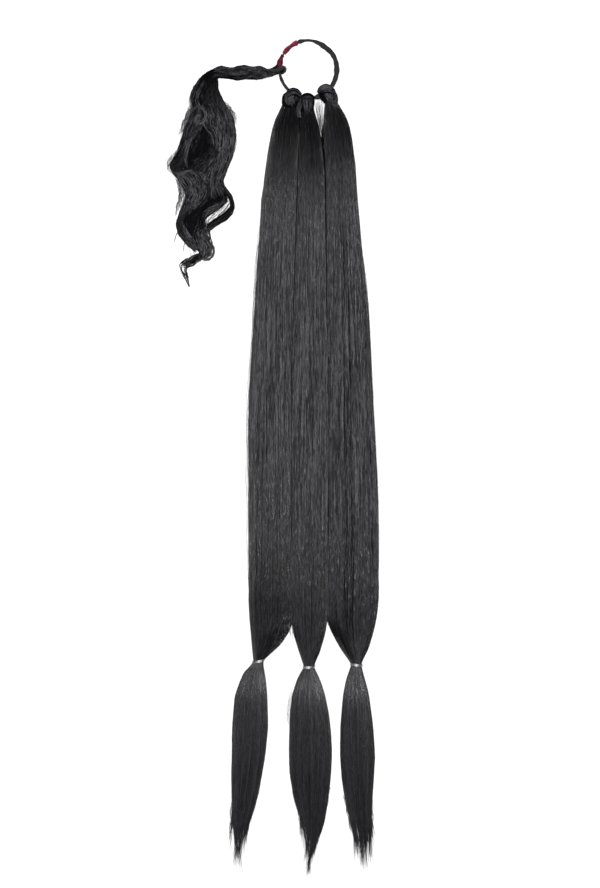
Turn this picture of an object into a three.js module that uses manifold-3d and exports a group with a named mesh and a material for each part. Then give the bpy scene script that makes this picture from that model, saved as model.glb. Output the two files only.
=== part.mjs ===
// Ponytail extension: three long straight hanks of hair and one wavy wrap strand on a hair elastic,
// lying flat on a surface. Millimetres, +X to the right, +Y from the tips to the elastic, +Z up.
// "drop" is a distance from the middle of the elastic towards the tips, along -Y.

import * as THREE from 'three';
import { mergeVertices } from 'three/addons/utils/BufferGeometryUtils.js';
import Module from 'manifold-3d';

const wasm = await Module();
wasm.setup();

// Driving dimensions
const fitGap = 0.3; // left between neighbouring pieces
const ringOuterRadius = 25.6;
const ringCentreX = -1;
const ringStations = 60;
const ringSides = 8;
const domeSides = 16; // points round a section of a lying bundle of hair
const domeShoulder = 0.4; // height of a section's widest point, as a share of its thickness
const domeSquareness = 0.8; // below 1 makes the section's sides fuller than an ellipse
const bellySlope = 1.35; // how soon the underside runs out flat on the surface
const hankStep = 18; // distance between the hanks' sections
const tieWall = 1; // at the middle of the band
const tieEdgeWall = 0.7;
const tieLength = 2.4;
const mergeDistance = 1e-4; // points this near are one point of a solid

// The elastic, round from +X: a flat band that shows its width at 0 to 60 degrees and its edge elsewhere.
// rise is the height of its underside over the surface, which the knots lift it from.
const ringBand = [
  { angle: 0, across: 4.4, high: 2.4, rise: 2.6 },
  { angle: 33, across: 3.8, high: 2.6, rise: 1.2 },
  { angle: 52, across: 4.7, high: 2.2, rise: 0.4 },
  { angle: 72, across: 3.4, high: 2.6, rise: 0.1 },
  { angle: 90, across: 2.1, high: 3.4, rise: 0.1 },
  { angle: 112, across: 1.9, high: 2.2, rise: 1.0 },
  { angle: 146, across: 1.6, high: 1.9, rise: 1.3 },
  { angle: 152, across: 1.3, high: 1.7, rise: 1.5 },
  { angle: 182, across: 1.9, high: 2.2, rise: 2.0 },
  { angle: 205, across: 2.6, high: 2.8, rise: 3.0 },
  { angle: 235, across: 2.4, high: 2.4, rise: 5.0 },
  { angle: 308, across: 2.4, high: 2.4, rise: 5.0 },
  { angle: 336, across: 4.0, high: 2.4, rise: 4.0 },
  { angle: 360, across: 4.4, high: 2.4, rise: 2.6 },
];

// What is wound round the elastic, from angle to angle, with its wall at both ends
const windings = [
  { name: 'red_binding_upper', from: 113, to: 147, wallFrom: 0.55, wallTo: 0.5, finish: 'thread' },
  { name: 'red_binding_lower', from: 150.5, to: 175, wallFrom: 0.4, wallTo: 0.9, finish: 'thread' },
  { name: 'wrap_knot', from: 176, to: 188, wallFrom: 1.3, wallTo: 1.4, finish: 'hair' },
];
const windingSteps = 8;

// Depth of a hank: at runs from 0 at its neck to 1 at its tie, and on to 2 at its tip
const hankDepth = [
  { at: 0, thick: 6.6, lift: 3.2 },
  { at: 0.02, thick: 7.2, lift: 2.8 },
  { at: 0.06, thick: 10.5, lift: 0.9 },
  { at: 0.12, thick: 13, lift: 0 },
  { at: 0.3, thick: 15.5, lift: 0 },
  { at: 0.55, thick: 16, lift: 0 },
  { at: 0.86, thick: 14.5, lift: 0 },
  { at: 0.95, thick: 11.5, lift: 0 },
  { at: 1, thick: 8, lift: 1.5 },
  { at: 1.06, thick: 9.5, lift: 0.5 },
  { at: 1.16, thick: 12, lift: 0 },
  { at: 1.45, thick: 11, lift: 0 },
  { at: 1.7, thick: 7, lift: 0 },
  { at: 2, thick: 1.8, lift: 0 },
];

// Outline of each hank from above, from its neck through its tie to its tip, with its tie's tilt in degrees
const hanks = [
  {
    side: 'left', tieDrop: 495, tieTilt: 14,
    outline: [
      { drop: 25.8, left: -20.6, right: -13.6 },
      { drop: 32.4, left: -22.2, right: -12.2 },
      { drop: 40.5, left: -28.4, right: -9.6 },
      { drop: 63, left: -33.4, right: -9.6 },
      { drop: 96, left: -38.4, right: -10.8 },
      { drop: 143, left: -43.4, right: -12.1 },
      { drop: 193, left: -46.2, right: -13.8 },
      { drop: 243, left: -49.6, right: -15.4 },
      { drop: 294, left: -51.8, right: -16.2 },
      { drop: 444, left: -51.8, right: -16.2 },
      { drop: 463, left: -50.2, right: -16.8 },
      { drop: 470, left: -49.4, right: -19 },
      { drop: 484, left: -48.4, right: -29.2 },
      { drop: 495, left: -47.2, right: -39 },
      { drop: 498, left: -47.7, right: -39.2 },
      { drop: 504, left: -55.1, right: -38.4 },
      { drop: 524, left: -62.3, right: -36.8 },
      { drop: 550, left: -64.4, right: -36 },
      { drop: 574, left: -64.6, right: -38.4 },
      { drop: 599, left: -65.8, right: -42.6 },
      { drop: 629, left: -67, right: -50.1 },
      { drop: 648, left: -64.2, right: -55.6 },
      { drop: 660, left: -60.6, right: -57.6 },
    ],
  },
  {
    side: 'middle', tieDrop: 500, tieTilt: 4,
    outline: [
      { drop: 30.4, left: -6.2, right: 1 },
      { drop: 37.8, left: -7, right: 2 },
      { drop: 46, left: -8.8, right: 5.6 },
      { drop: 63, left: -9, right: 9.9 },
      { drop: 96, left: -10.2, right: 12.7 },
      { drop: 143, left: -11.5, right: 12.8 },
      { drop: 193, left: -13.2, right: 13.5 },
      { drop: 243, left: -14.8, right: 14.4 },
      { drop: 294, left: -15.6, right: 15.2 },
      { drop: 394, left: -15.6, right: 14.6 },
      { drop: 444, left: -15.6, right: 13.6 },
      { drop: 469, left: -14.6, right: 12.2 },
      { drop: 484, left: -10, right: 7.6 },
      { drop: 500, left: -4.8, right: 3.2 },
      { drop: 509, left: -10, right: 7.5 },
      { drop: 524, left: -14.2, right: 11.7 },
      { drop: 539, left: -16, right: 14.8 },
      { drop: 570, left: -16.8, right: 17.4 },
      { drop: 599, left: -15.9, right: 15.9 },
      { drop: 629, left: -10, right: 11.7 },
      { drop: 655, left: -4, right: 5 },
      { drop: 676, left: -4.6, right: -2 },
    ],
  },
  {
    side: 'right', tieDrop: 498, tieTilt: -8,
    outline: [
      { drop: 24.2, left: 13, right: 19 },
      { drop: 29.4, left: 13, right: 20.4 },
      { drop: 36, left: 11.6, right: 26.9 },
      { drop: 46, left: 11, right: 31 },
      { drop: 63, left: 11.7, right: 34.3 },
      { drop: 96, left: 13.4, right: 38.4 },
      { drop: 143, left: 13.5, right: 42.6 },
      { drop: 193, left: 14.2, right: 48.3 },
      { drop: 243, left: 15.1, right: 51.2 },
      { drop: 294, left: 15.9, right: 53.6 },
      { drop: 344, left: 15.9, right: 56.6 },
      { drop: 425, left: 14.9, right: 57.6 },
      { drop: 444, left: 14.3, right: 56.2 },
      { drop: 462, left: 14.8, right: 53.8 },
      { drop: 479, left: 23.4, right: 49.3 },
      { drop: 498, left: 34.8, right: 42.8 },
      { drop: 509, left: 31, right: 45.1 },
      { drop: 524, left: 28.4, right: 48.5 },
      { drop: 550, left: 26.1, right: 51.8 },
      { drop: 574, left: 25.9, right: 53.5 },
      { drop: 614, left: 30.1, right: 51.2 },
      { drop: 644, left: 37, right: 51 },
      { drop: 660, left: 39.6, right: 48.4 },
      { drop: 675, left: 42, right: 45 },
    ],
  },
];

// Outline and depth of each knot: the loop over the elastic, a waist, and the collar round the hank's neck
const knotShapes = {
  left: [
    { drop: 15.8, left: -17.6, right: -11.4, thick: 7, lift: 3 },
    { drop: 17.4, left: -20.4, right: -9.4, thick: 11.4, lift: 0.8 },
    { drop: 21, left: -21.4, right: -8.8, thick: 12.8, lift: 0.2 },
    { drop: 24.2, left: -21.8, right: -9.4, thick: 11.8, lift: 0.6 },
    { drop: 27.6, left: -24.4, right: -9.6, thick: 13, lift: 0.1 },
    { drop: 30.6, left: -24, right: -10.6, thick: 12.4, lift: 0.3 },
    { drop: 32.2, left: -22.8, right: -11.6, thick: 10.2, lift: 1.4 },
  ],
  middle: [
    { drop: 20, left: -6.6, right: 2.8, thick: 7, lift: 3 },
    { drop: 21.6, left: -8, right: 3.8, thick: 11.2, lift: 0.9 },
    { drop: 25, left: -8.3, right: 3.8, thick: 12.4, lift: 0.3 },
    { drop: 28.4, left: -7.8, right: 2.9, thick: 11.4, lift: 0.8 },
    { drop: 32, left: -8.6, right: 3.3, thick: 12.8, lift: 0.1 },
    { drop: 36, left: -8.4, right: 3.1, thick: 12, lift: 0.4 },
    { drop: 37.6, left: -7.6, right: 2.5, thick: 10, lift: 1.4 },
  ],
  right: [
    { drop: 13.2, left: 10, right: 16.4, thick: 7, lift: 3 },
    { drop: 15, left: 6.8, right: 18.6, thick: 11.4, lift: 0.8 },
    { drop: 18, left: 5.8, right: 20, thick: 12.8, lift: 0.2 },
    { drop: 21, left: 8, right: 21.2, thick: 12, lift: 0.6 },
    { drop: 24.6, left: 10, right: 22.4, thick: 13, lift: 0.1 },
    { drop: 27.6, left: 11.4, right: 22, thick: 12.2, lift: 0.3 },
    { drop: 29.2, left: 12.2, right: 21.2, thick: 10.2, lift: 1.4 },
  ],
};

// The wrap strand's bound end, from the elastic to its bend: across -X, between two edges seen from above
const ropeSections = [
  { x: -28.7, upper: -1.2, lower: 4.6, thick: 5.4, lift: 0.4 },
  { x: -31.4, upper: -1.2, lower: 6, thick: 6.4, lift: 0.1 },
  { x: -36, upper: -0.4, lower: 7.6, thick: 7, lift: 0 },
  { x: -41.8, upper: -2.9, lower: 9.2, thick: 8.6, lift: 0 },
  { x: -52.6, upper: -3.8, lower: 8.8, thick: 9, lift: 0 },
  { x: -58.5, upper: -3.3, lower: 9.8, thick: 9.2, lift: 0 },
  { x: -66.8, upper: -2.5, lower: 8.4, thick: 8.6, lift: 0 },
  { x: -75.6, upper: -2.9, lower: 7.9, thick: 8.6, lift: 0 },
];

// The loose wavy lock: outer and inner edge of each section, round the bend and down through its curls
const lockSections = [
  { outerX: -76, outerDrop: -2.9, innerX: -76, innerDrop: 7.9, thick: 8.6 },
  { outerX: -83.5, outerDrop: 0.2, innerX: -77.4, innerDrop: 9.2, thick: 9 },
  { outerX: -90.2, outerDrop: 5.4, innerX: -77.7, innerDrop: 11.3, thick: 9.5 },
  { outerX: -96.9, outerDrop: 12.9, innerX: -77.5, innerDrop: 14.6, thick: 10 },
  { outerX: -101.3, outerDrop: 21.3, innerX: -75.6, innerDrop: 21.3, thick: 11 },
  { outerX: -99.8, outerDrop: 31.3, innerX: -70.2, innerDrop: 31.3, thick: 13 },
  { outerX: -102.8, outerDrop: 41.4, innerX: -63.7, innerDrop: 41.4, thick: 14.5 },
  { outerX: -108.2, outerDrop: 55.6, innerX: -61.8, innerDrop: 55.6, thick: 15 },
  { outerX: -112.8, outerDrop: 69.8, innerX: -63.4, innerDrop: 69.8, thick: 14.5 },
  { outerX: -117.6, outerDrop: 80.6, innerX: -67.2, innerDrop: 80.6, thick: 12.5 },
  { outerX: -113.6, outerDrop: 89.8, innerX: -72.4, innerDrop: 89.8, thick: 11.5 },
  { outerX: -107.8, outerDrop: 98.2, innerX: -71.8, innerDrop: 98.2, thick: 11 },
  { outerX: -105.9, outerDrop: 106.5, innerX: -65.6, innerDrop: 106.5, thick: 11 },
  { outerX: -108.6, outerDrop: 115.7, innerX: -63.6, innerDrop: 115.7, thick: 10.5 },
  { outerX: -111.1, outerDrop: 123.2, innerX: -67.2, innerDrop: 123.2, thick: 10 },
  { outerX: -111.9, outerDrop: 130.7, innerX: -77.6, innerDrop: 130.7, thick: 9.5 },
  { outerX: -110.5, outerDrop: 137.4, innerX: -83.6, innerDrop: 137.4, thick: 9 },
  { outerX: -105.3, outerDrop: 144.1, innerX: -82.7, innerDrop: 144.1, thick: 8.5 },
  { outerX: -99.6, outerDrop: 151.6, innerX: -81, innerDrop: 151.6, thick: 8 },
  { outerX: -99.4, outerDrop: 156.2, innerX: -84.6, innerDrop: 158.6, thick: 7 },
  { outerX: -105.3, outerDrop: 160, innerX: -93.4, innerDrop: 164.2, thick: 5.5 },
  { outerX: -109.9, outerDrop: 164.6, innerX: -100.6, innerDrop: 167.5, thick: 4.5 },
  { outerX: -108.2, outerDrop: 169.8, innerX: -103.2, innerDrop: 172.4, thick: 3.2 },
  { outerX: -102.9, outerDrop: 181, innerX: -101.3, innerDrop: 181, thick: 1.6 },
];

// The see-through slit between the lock's lower curl and its body
const curlSlit = { x: -76.4, drop: 117.2, length: 20, width: 3.4, slant: 42, cutHeight: 40 };

const finishes = {
  hair: { color: '#1c1c1e', roughness: 0.42, metalness: 0 },
  elastic: { color: '#262727', roughness: 0.85, metalness: 0 },
  thread: { color: '#96263f', roughness: 0.7, metalness: 0 },
  clearBand: { color: '#d9dadb', roughness: 0.2, metalness: 0 },
};

// Smooth value of one column between the rows of a table, which never overshoots them
function valueAt(rows, key, column, at) {
  const last = rows.length - 1;
  const place = THREE.MathUtils.clamp(at, rows[0][key], rows[last][key]);
  let i = 0;
  while (i < last - 1 && place > rows[i + 1][key]) i += 1;
  const secant = (k) => (rows[k + 1][column] - rows[k][column]) / (rows[k + 1][key] - rows[k][key]);
  const slope = (k) => {
    if (k === 0) return secant(0);
    if (k === last) return secant(last - 1);
    const before = secant(k - 1);
    const after = secant(k);
    return before * after > 0 ? (2 * before * after) / (before + after) : 0;
  };
  const span = rows[i + 1][key] - rows[i][key];
  const t = (place - rows[i][key]) / span;
  const start = rows[i][column] * (1 + 2 * t) * (1 - t) ** 2 + slope(i) * span * t * (1 - t) ** 2;
  const end = rows[i + 1][column] * (3 - 2 * t) * t ** 2 - slope(i + 1) * span * (1 - t) * t ** 2;
  return start + end;
}

// Closed surface through loops of equal length: capped at both ends, or joined end to start
function loft(loops, joined = false) {
  const count = loops[0].length;
  const positions = loops.flat().flatMap((point) => [point.x, point.y, point.z]);
  const triangles = [];
  const spans = joined ? loops.length : loops.length - 1;
  for (let i = 0; i < spans; i += 1) {
    const here = i * count;
    const next = ((i + 1) % loops.length) * count;
    for (let j = 0; j < count; j += 1) {
      const k = (j + 1) % count;
      triangles.push(here + j, here + k, next + k, here + j, next + k, next + j);
    }
  }
  if (!joined) {
    const tail = (loops.length - 1) * count;
    for (let j = 1; j < count - 1; j += 1) {
      triangles.push(0, j + 1, j, tail, tail + j, tail + j + 1);
    }
  }
  const geometry = new THREE.BufferGeometry();
  geometry.setAttribute('position', new THREE.Float32BufferAttribute(positions, 3));
  geometry.setIndex(triangles);
  if (enclosedVolume(geometry) < 0) geometry.setIndex(triangles.reverse());
  return geometry;
}

function enclosedVolume(geometry) {
  const { position } = geometry.attributes;
  const corner = (k) => new THREE.Vector3().fromBufferAttribute(position, geometry.index.getX(k));
  let volume = 0;
  for (let k = 0; k < geometry.index.count; k += 3) {
    volume += corner(k).dot(corner(k + 1).cross(corner(k + 2))) / 6;
  }
  return volume;
}

// Section of a bundle of hair that lies on the surface, domed above and flat below, between two edge points
function domeLoop(leftEdge, rightEdge, thick, lift, grow = 0) {
  const middle = leftEdge.clone().lerp(rightEdge, 0.5);
  const half = rightEdge.clone().sub(leftEdge).multiplyScalar(0.5);
  half.setLength(half.length() + grow);
  const loop = [];
  for (let j = 0; j < domeSides; j += 1) {
    const angle = (2 * Math.PI * j) / domeSides;
    const side = Math.sign(Math.cos(angle)) * Math.abs(Math.cos(angle)) ** domeSquareness;
    const rise = Math.sin(angle);
    const above = domeShoulder + (1 - domeShoulder) * rise;
    const below = domeShoulder * Math.max(0, 1 - bellySlope * Math.abs(rise) ** domeSquareness);
    const height = lift - grow + (thick + 2 * grow) * (rise >= 0 ? above : below);
    loop.push(new THREE.Vector3(middle.x + half.x * side, middle.y + half.y * side, height));
  }
  return loop;
}

// Section across the elastic at an angle, grown outwards by a wall
function ringLoop(angle, grow = 0) {
  const turn = THREE.MathUtils.euclideanModulo(angle, 360);
  const across = valueAt(ringBand, 'angle', 'across', turn);
  const high = valueAt(ringBand, 'angle', 'high', turn);
  const middleZ = valueAt(ringBand, 'angle', 'rise', turn) + high / 2;
  const radius = ringOuterRadius - across / 2;
  const direction = THREE.MathUtils.degToRad(angle);
  const loop = [];
  for (let j = 0; j < ringSides; j += 1) {
    const round = (2 * Math.PI * (j + 0.5)) / ringSides;
    const reach = radius + (across / 2 + grow) * Math.cos(round);
    const height = middleZ + (high / 2 + grow) * Math.sin(round);
    const x = ringCentreX + reach * Math.cos(direction);
    loop.push(new THREE.Vector3(x, reach * Math.sin(direction), height));
  }
  return loop;
}

function ringGeometry(grow = 0) {
  const loops = [];
  for (let i = 0; i < ringStations; i += 1) loops.push(ringLoop((360 * i) / ringStations, grow));
  return loft(loops, true);
}

// Sleeve of thread or hair round the elastic
function windingGeometry(winding) {
  const outside = [];
  const inside = [];
  for (let i = 0; i <= windingSteps; i += 1) {
    const share = i / windingSteps;
    const angle = THREE.MathUtils.lerp(winding.from, winding.to, share);
    const wall = THREE.MathUtils.lerp(winding.wallFrom, winding.wallTo, share);
    inside.push(ringLoop(angle, fitGap));
    outside.push(ringLoop(angle, fitGap + wall));
  }
  return loft([...outside, ...inside.reverse()], true);
}

// Section of a hank at a drop below the elastic's middle
function hankLoop(hank, drop, grow = 0) {
  const rows = hank.outline;
  const neckDrop = rows[0].drop;
  const tipDrop = rows[rows.length - 1].drop;
  const inBody = (drop - neckDrop) / (hank.tieDrop - neckDrop);
  const inTail = 1 + (drop - hank.tieDrop) / (tipDrop - hank.tieDrop);
  const at = drop < hank.tieDrop ? inBody : inTail;
  const left = new THREE.Vector3(valueAt(rows, 'drop', 'left', drop), -drop, 0);
  const right = new THREE.Vector3(valueAt(rows, 'drop', 'right', drop), -drop, 0);
  const thick = valueAt(hankDepth, 'at', 'thick', at);
  const lift = valueAt(hankDepth, 'at', 'lift', at);
  return domeLoop(left, right, thick, lift, grow);
}

// Sections at each row of the outline and between rows that lie far apart
function hankGeometry(hank, grow = 0) {
  const rows = hank.outline;
  const loops = [hankLoop(hank, rows[0].drop - grow, grow)];
  for (let i = 1; i < rows.length; i += 1) {
    const span = rows[i].drop - rows[i - 1].drop;
    const steps = Math.max(1, Math.round(span / hankStep));
    for (let k = 1; k <= steps; k += 1) {
      loops.push(hankLoop(hank, rows[i - 1].drop + (span * k) / steps, grow));
    }
  }
  return loft(loops);
}

// Clear band round a hank's narrowest section, tilted as it was slipped on
function tieGeometry(hank) {
  const slope = Math.tan(THREE.MathUtils.degToRad(hank.tieTilt));
  const neck = new THREE.Box3().setFromPoints(hankLoop(hank, hank.tieDrop));
  const middleX = neck.getCenter(new THREE.Vector3()).x;
  const turn = (wall, along) => hankLoop(hank, hank.tieDrop, fitGap + wall).map((point) => {
    const lean = (point.x - middleX) * slope;
    return new THREE.Vector3(point.x, point.y + lean + along, point.z);
  });
  const band = loft([turn(tieEdgeWall, tieLength / 2), turn(tieWall, 0), turn(tieEdgeWall, -tieLength / 2)]);
  return cut(band, hankGeometry(hank, fitGap));
}

function knotGeometry(hank) {
  const shape = knotShapes[hank.side].map((row) => domeLoop(
    new THREE.Vector3(row.left, -row.drop, 0),
    new THREE.Vector3(row.right, -row.drop, 0),
    row.thick,
    row.lift,
  ));
  return cut(loft(shape), ringGeometry(fitGap), hankGeometry(hank, fitGap));
}

function ropeGeometry() {
  return loft(ropeSections.map((row) => domeLoop(
    new THREE.Vector3(row.x, -row.upper, 0),
    new THREE.Vector3(row.x, -row.lower, 0),
    row.thick,
    row.lift,
  )));
}

function lockGeometry() {
  const body = loft(lockSections.map((row) => domeLoop(
    new THREE.Vector3(row.outerX, -row.outerDrop, 0),
    new THREE.Vector3(row.innerX, -row.innerDrop, 0),
    row.thick,
    0,
  )));
  const outline = new THREE.Shape();
  outline.absellipse(0, 0, curlSlit.length / 2, curlSlit.width / 2, 0, 2 * Math.PI);
  const slit = new THREE.ExtrudeGeometry(outline, {
    depth: curlSlit.cutHeight,
    bevelEnabled: false,
    curveSegments: 12,
  });
  slit.translate(0, 0, -curlSlit.cutHeight / 2);
  slit.rotateZ(THREE.MathUtils.degToRad(curlSlit.slant));
  slit.translate(curlSlit.x, -curlSlit.drop, 0);
  return cut(body, slit);
}

function solidOf(geometry) {
  const bare = new THREE.BufferGeometry();
  bare.setAttribute('position', geometry.attributes.position);
  bare.setIndex(geometry.index);
  const merged = mergeVertices(bare, mergeDistance);
  return new wasm.Manifold(new wasm.Mesh({
    numProp: 3,
    vertProperties: new Float32Array(merged.attributes.position.array),
    triVerts: new Uint32Array(merged.index.array),
  }));
}

function cut(geometry, ...tools) {
  const solid = tools.reduce((rest, tool) => rest.subtract(solidOf(tool)), solidOf(geometry));
  const mesh = solid.getMesh();
  const result = new THREE.BufferGeometry();
  result.setAttribute('position', new THREE.Float32BufferAttribute(mesh.vertProperties, 3));
  result.setIndex(Array.from(mesh.triVerts));
  return result;
}

const ponytail = new THREE.Group();
ponytail.name = 'ponytail_extension';

function addPiece(name, geometry, finish) {
  geometry.computeVertexNormals();
  const piece = new THREE.Mesh(geometry, new THREE.MeshStandardMaterial(finishes[finish]));
  piece.name = name;
  ponytail.add(piece);
}

addPiece('elastic_ring', ringGeometry(), 'elastic');
for (const winding of windings) addPiece(winding.name, windingGeometry(winding), winding.finish);
for (const hank of hanks) {
  addPiece(`knot_${hank.side}`, knotGeometry(hank), 'hair');
  addPiece(`hank_${hank.side}`, hankGeometry(hank), 'hair');
  addPiece(`tie_${hank.side}`, tieGeometry(hank), 'clearBand');
}
addPiece('wrap_rope', ropeGeometry(), 'hair');
addPiece('wrap_lock', lockGeometry(), 'hair');

// The origin is at the middle of the underside
const box = new THREE.Box3().setFromObject(ponytail);
const centre = box.getCenter(new THREE.Vector3());
ponytail.position.set(-centre.x, -centre.y, -box.min.z);

export default ponytail;
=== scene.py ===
# Ponytail extension lying on a pale surface: hair, elastic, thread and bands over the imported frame.
# Working numbers are millimetres in the frame of the CAD; meshes are written in metres.

import math

import bmesh
import bpy
import numpy as np
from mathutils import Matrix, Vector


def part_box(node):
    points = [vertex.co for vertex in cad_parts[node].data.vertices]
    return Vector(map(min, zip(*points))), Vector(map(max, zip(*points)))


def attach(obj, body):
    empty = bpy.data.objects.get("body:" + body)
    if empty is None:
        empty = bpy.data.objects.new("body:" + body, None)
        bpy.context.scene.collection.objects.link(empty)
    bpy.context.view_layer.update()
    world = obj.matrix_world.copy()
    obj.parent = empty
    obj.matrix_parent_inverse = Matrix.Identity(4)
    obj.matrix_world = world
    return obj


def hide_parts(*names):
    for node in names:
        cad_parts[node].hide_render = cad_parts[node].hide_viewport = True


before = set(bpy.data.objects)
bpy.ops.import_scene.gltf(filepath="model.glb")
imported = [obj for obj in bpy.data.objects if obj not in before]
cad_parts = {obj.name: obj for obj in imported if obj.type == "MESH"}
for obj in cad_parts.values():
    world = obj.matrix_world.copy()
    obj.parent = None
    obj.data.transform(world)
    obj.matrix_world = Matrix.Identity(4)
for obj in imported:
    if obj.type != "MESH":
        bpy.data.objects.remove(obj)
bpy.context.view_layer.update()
mm = 0.001
body = "root"

# The photo looks straight down: what a pixel covers at the hair's height, and the point under its middle
photo = {"pixel": 0.8354, "columns": 600, "rows": 888, "middle": (21.65, 11.55), "height": 8.0}
camera = {"lens": 100.0, "sensor": 36.0}
# size, place and power of each panel, strength of the other light, and the two tones of the floor's paper
studio = {
    "panels": {"bright": ((560.0, 440.0), (20.0, 215.0, 2500.0), 46.0),
               "surround": ((560.0, 820.0), (20.0, 190.0, 2520.0), 34.0)},
    "fill": 0.12, "backdrop": 1.0, "floorReach": 1050.0, "floorSides": 96,
    "paper": ("#f6f6f5", "#fbfbfa"), "cloudsPerMetre": 6.0,
}
# least heights over the floor of the middle of a strand, of hair beside an edge, and of a core
lowest = {"strand": 0.15, "edge": 0.2, "hankCore": 0.2, "laneCore": 0.1}


def addNode(tree, kind, settings=None, inputs=None):
    # one node, with its settings, and its inputs as values or as the outputs that feed them
    node = tree.nodes.new(kind)
    for name, value in (settings or {}).items():
        setattr(node, name, value)
    for socket, value in (inputs or {}).items():
        if isinstance(value, bpy.types.NodeSocket):
            tree.links.new(value, node.inputs[socket])
        else:
            node.inputs[socket].default_value = value
    return node


def addMath(tree, operation, *values):
    return addNode(tree, "ShaderNodeMath", {"operation": operation}, dict(enumerate(values))).outputs[0]


def mapRange(tree, value, given=(0.0, 1.0), wanted=(0.0, 1.0)):
    # a value carried from the given range to the wanted one, and held inside it
    return addNode(tree, "ShaderNodeMapRange", None, {
        "Value": value, "From Min": given[0], "From Max": given[1],
        "To Min": wanted[0], "To Max": wanted[1]}).outputs[0]


def hexColour(code):
    channels = [int(code[i:i + 2], 16) / 255 for i in (1, 3, 5)]
    linear = [c / 12.92 if c <= 0.04045 else ((c + 0.055) / 1.055) ** 2.4 for c in channels]
    return (*linear, 1.0)


def mixColours(tree, share, first, second):
    return addNode(tree, "ShaderNodeMix", {"data_type": "RGBA"}, {
        0: share, 6: hexColour(first), 7: hexColour(second)}).outputs[2]


def readAttributes(tree, *names):
    return [addNode(tree, "ShaderNodeAttribute", {"attribute_name": name}).outputs["Fac"] for name in names]


def addBump(tree, strength, relief, height):
    return addNode(tree, "ShaderNodeBump", None, {
        "Strength": strength, "Distance": relief * mm, "Height": height}).outputs[0]


def newMaterial(name):
    material = bpy.data.materials.new(name)
    material.use_nodes = True
    material.node_tree.nodes.clear()
    return material, material.node_tree


def finishMaterial(tree, sockets):
    shader = addNode(tree, "ShaderNodeBsdfPrincipled", None, sockets)
    addNode(tree, "ShaderNodeOutputMaterial", None, {"Surface": shader.outputs[0]})


def fromPhoto(guide):
    # guide rows start with a column and a row of the photo; what follows them stays as it is
    rows = np.array(guide, dtype=float)
    rows[:, 0] = photo["middle"][0] + (rows[:, 0] - photo["columns"] / 2) * photo["pixel"]
    rows[:, 1] = photo["middle"][1] - (rows[:, 1] - photo["rows"] / 2) * photo["pixel"]
    return rows


def cornersOf(node):
    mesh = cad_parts[node].data
    corners = np.empty(len(mesh.vertices) * 3)
    mesh.vertices.foreach_get("co", corners)
    return corners.reshape(-1, 3) / mm


# Camera, light and floor

def addStudio():
    reach = photo["rows"] * photo["pixel"] * camera["lens"] / camera["sensor"]
    lens = bpy.data.cameras.new("camera")
    lens.lens = camera["lens"]
    lens.sensor_width = camera["sensor"]  # lies along the picture's longer side
    lens.clip_end = 100
    eye = bpy.data.objects.new("camera", lens)
    eye.location = (photo["middle"][0] * mm, photo["middle"][1] * mm, (photo["height"] + reach) * mm)
    bpy.context.collection.objects.link(eye)
    bpy.context.scene.camera = eye

    # a softbox: its bright middle and the weaker light round it
    for name, (size, place, power) in studio["panels"].items():
        panel = bpy.data.lights.new(name + "Panel", "AREA")
        panel.shape = "RECTANGLE"
        panel.size, panel.size_y = (side * mm for side in size)
        panel.energy = power
        lamp = bpy.data.objects.new(name + "Panel", panel)
        lamp.location = [value * mm for value in place]
        lamp.visible_camera = False
        bpy.context.collection.objects.link(lamp)

    world = bpy.data.worlds.new("studio")
    bpy.context.scene.world = world
    world.use_nodes = True
    tree = world.node_tree
    tree.nodes.clear()
    fill, backdrop = (
        addNode(tree, "ShaderNodeBackground", None, {"Color": (1, 1, 1, 1), "Strength": studio[name]})
        for name in ("fill", "backdrop"))
    rays = addNode(tree, "ShaderNodeLightPath")
    mix = addNode(tree, "ShaderNodeMixShader", None, {
        0: rays.outputs["Is Camera Ray"], 1: fill.outputs[0], 2: backdrop.outputs[0]})
    addNode(tree, "ShaderNodeOutputWorld", None, {"Surface": mix.outputs[0]})
    bpy.context.scene.view_settings.view_transform = "Standard"

    # matte paper: white with a faint cloudiness that keeps it from looking like a void
    material, tree = newMaterial("mattePaper")
    place = addNode(tree, "ShaderNodeTexCoord")
    cloud = addNode(tree, "ShaderNodeTexNoise", None, {
        "Vector": place.outputs["Object"], "Scale": studio["cloudsPerMetre"]})
    finishMaterial(tree, {
        "Base Color": mixColours(tree, cloud.outputs[0], *studio["paper"]), "Roughness": 0.9,
        "Specular IOR Level": 0.1})
    # round, and ends where its light has fallen to the white behind it, so that its edge doesn't show
    turn = np.linspace(0, 2 * math.pi, studio["floorSides"], endpoint=False)
    x, y, _ = studio["panels"]["bright"][1]
    rim = np.stack([x + studio["floorReach"] * np.cos(turn), y + studio["floorReach"] * np.sin(turn),
                    0 * turn], axis=1)
    mesh = bpy.data.meshes.new("floor")
    mesh.from_pydata((rim * mm).tolist(), [], [tuple(range(len(rim)))])
    mesh.materials.append(material)
    floor = bpy.data.objects.new("floor", mesh)
    bpy.context.collection.objects.link(floor)


# Materials

fibre = {
    "dark": "#040405", "streakWide": 0.9, "streakLong": 14.0, "partWide": 1.7, "partLong": 70.0,
    "partShare": 0.4, "looseStreaks": (0.45, 0.56), "combedStreaks": (0.52, 0.62), "ownTone": 0.06,
    "matte": 0.8, "ruffled": 0.16, "kinkWide": 1.1, "kinkLong": 9.0, "kinkHeight": 2.4, "kinkApart": 13.7,
}
# colour of its light streaks, a painted sheen, roughness and share of streaks where it is combed, and gloss
fibreFinish = {"modacrylicFibre": ("#48484e", 0.19, 0.34, 0.5), "curledFibre": ("#646468", 0.5, 0.1, 0.1)}


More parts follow.
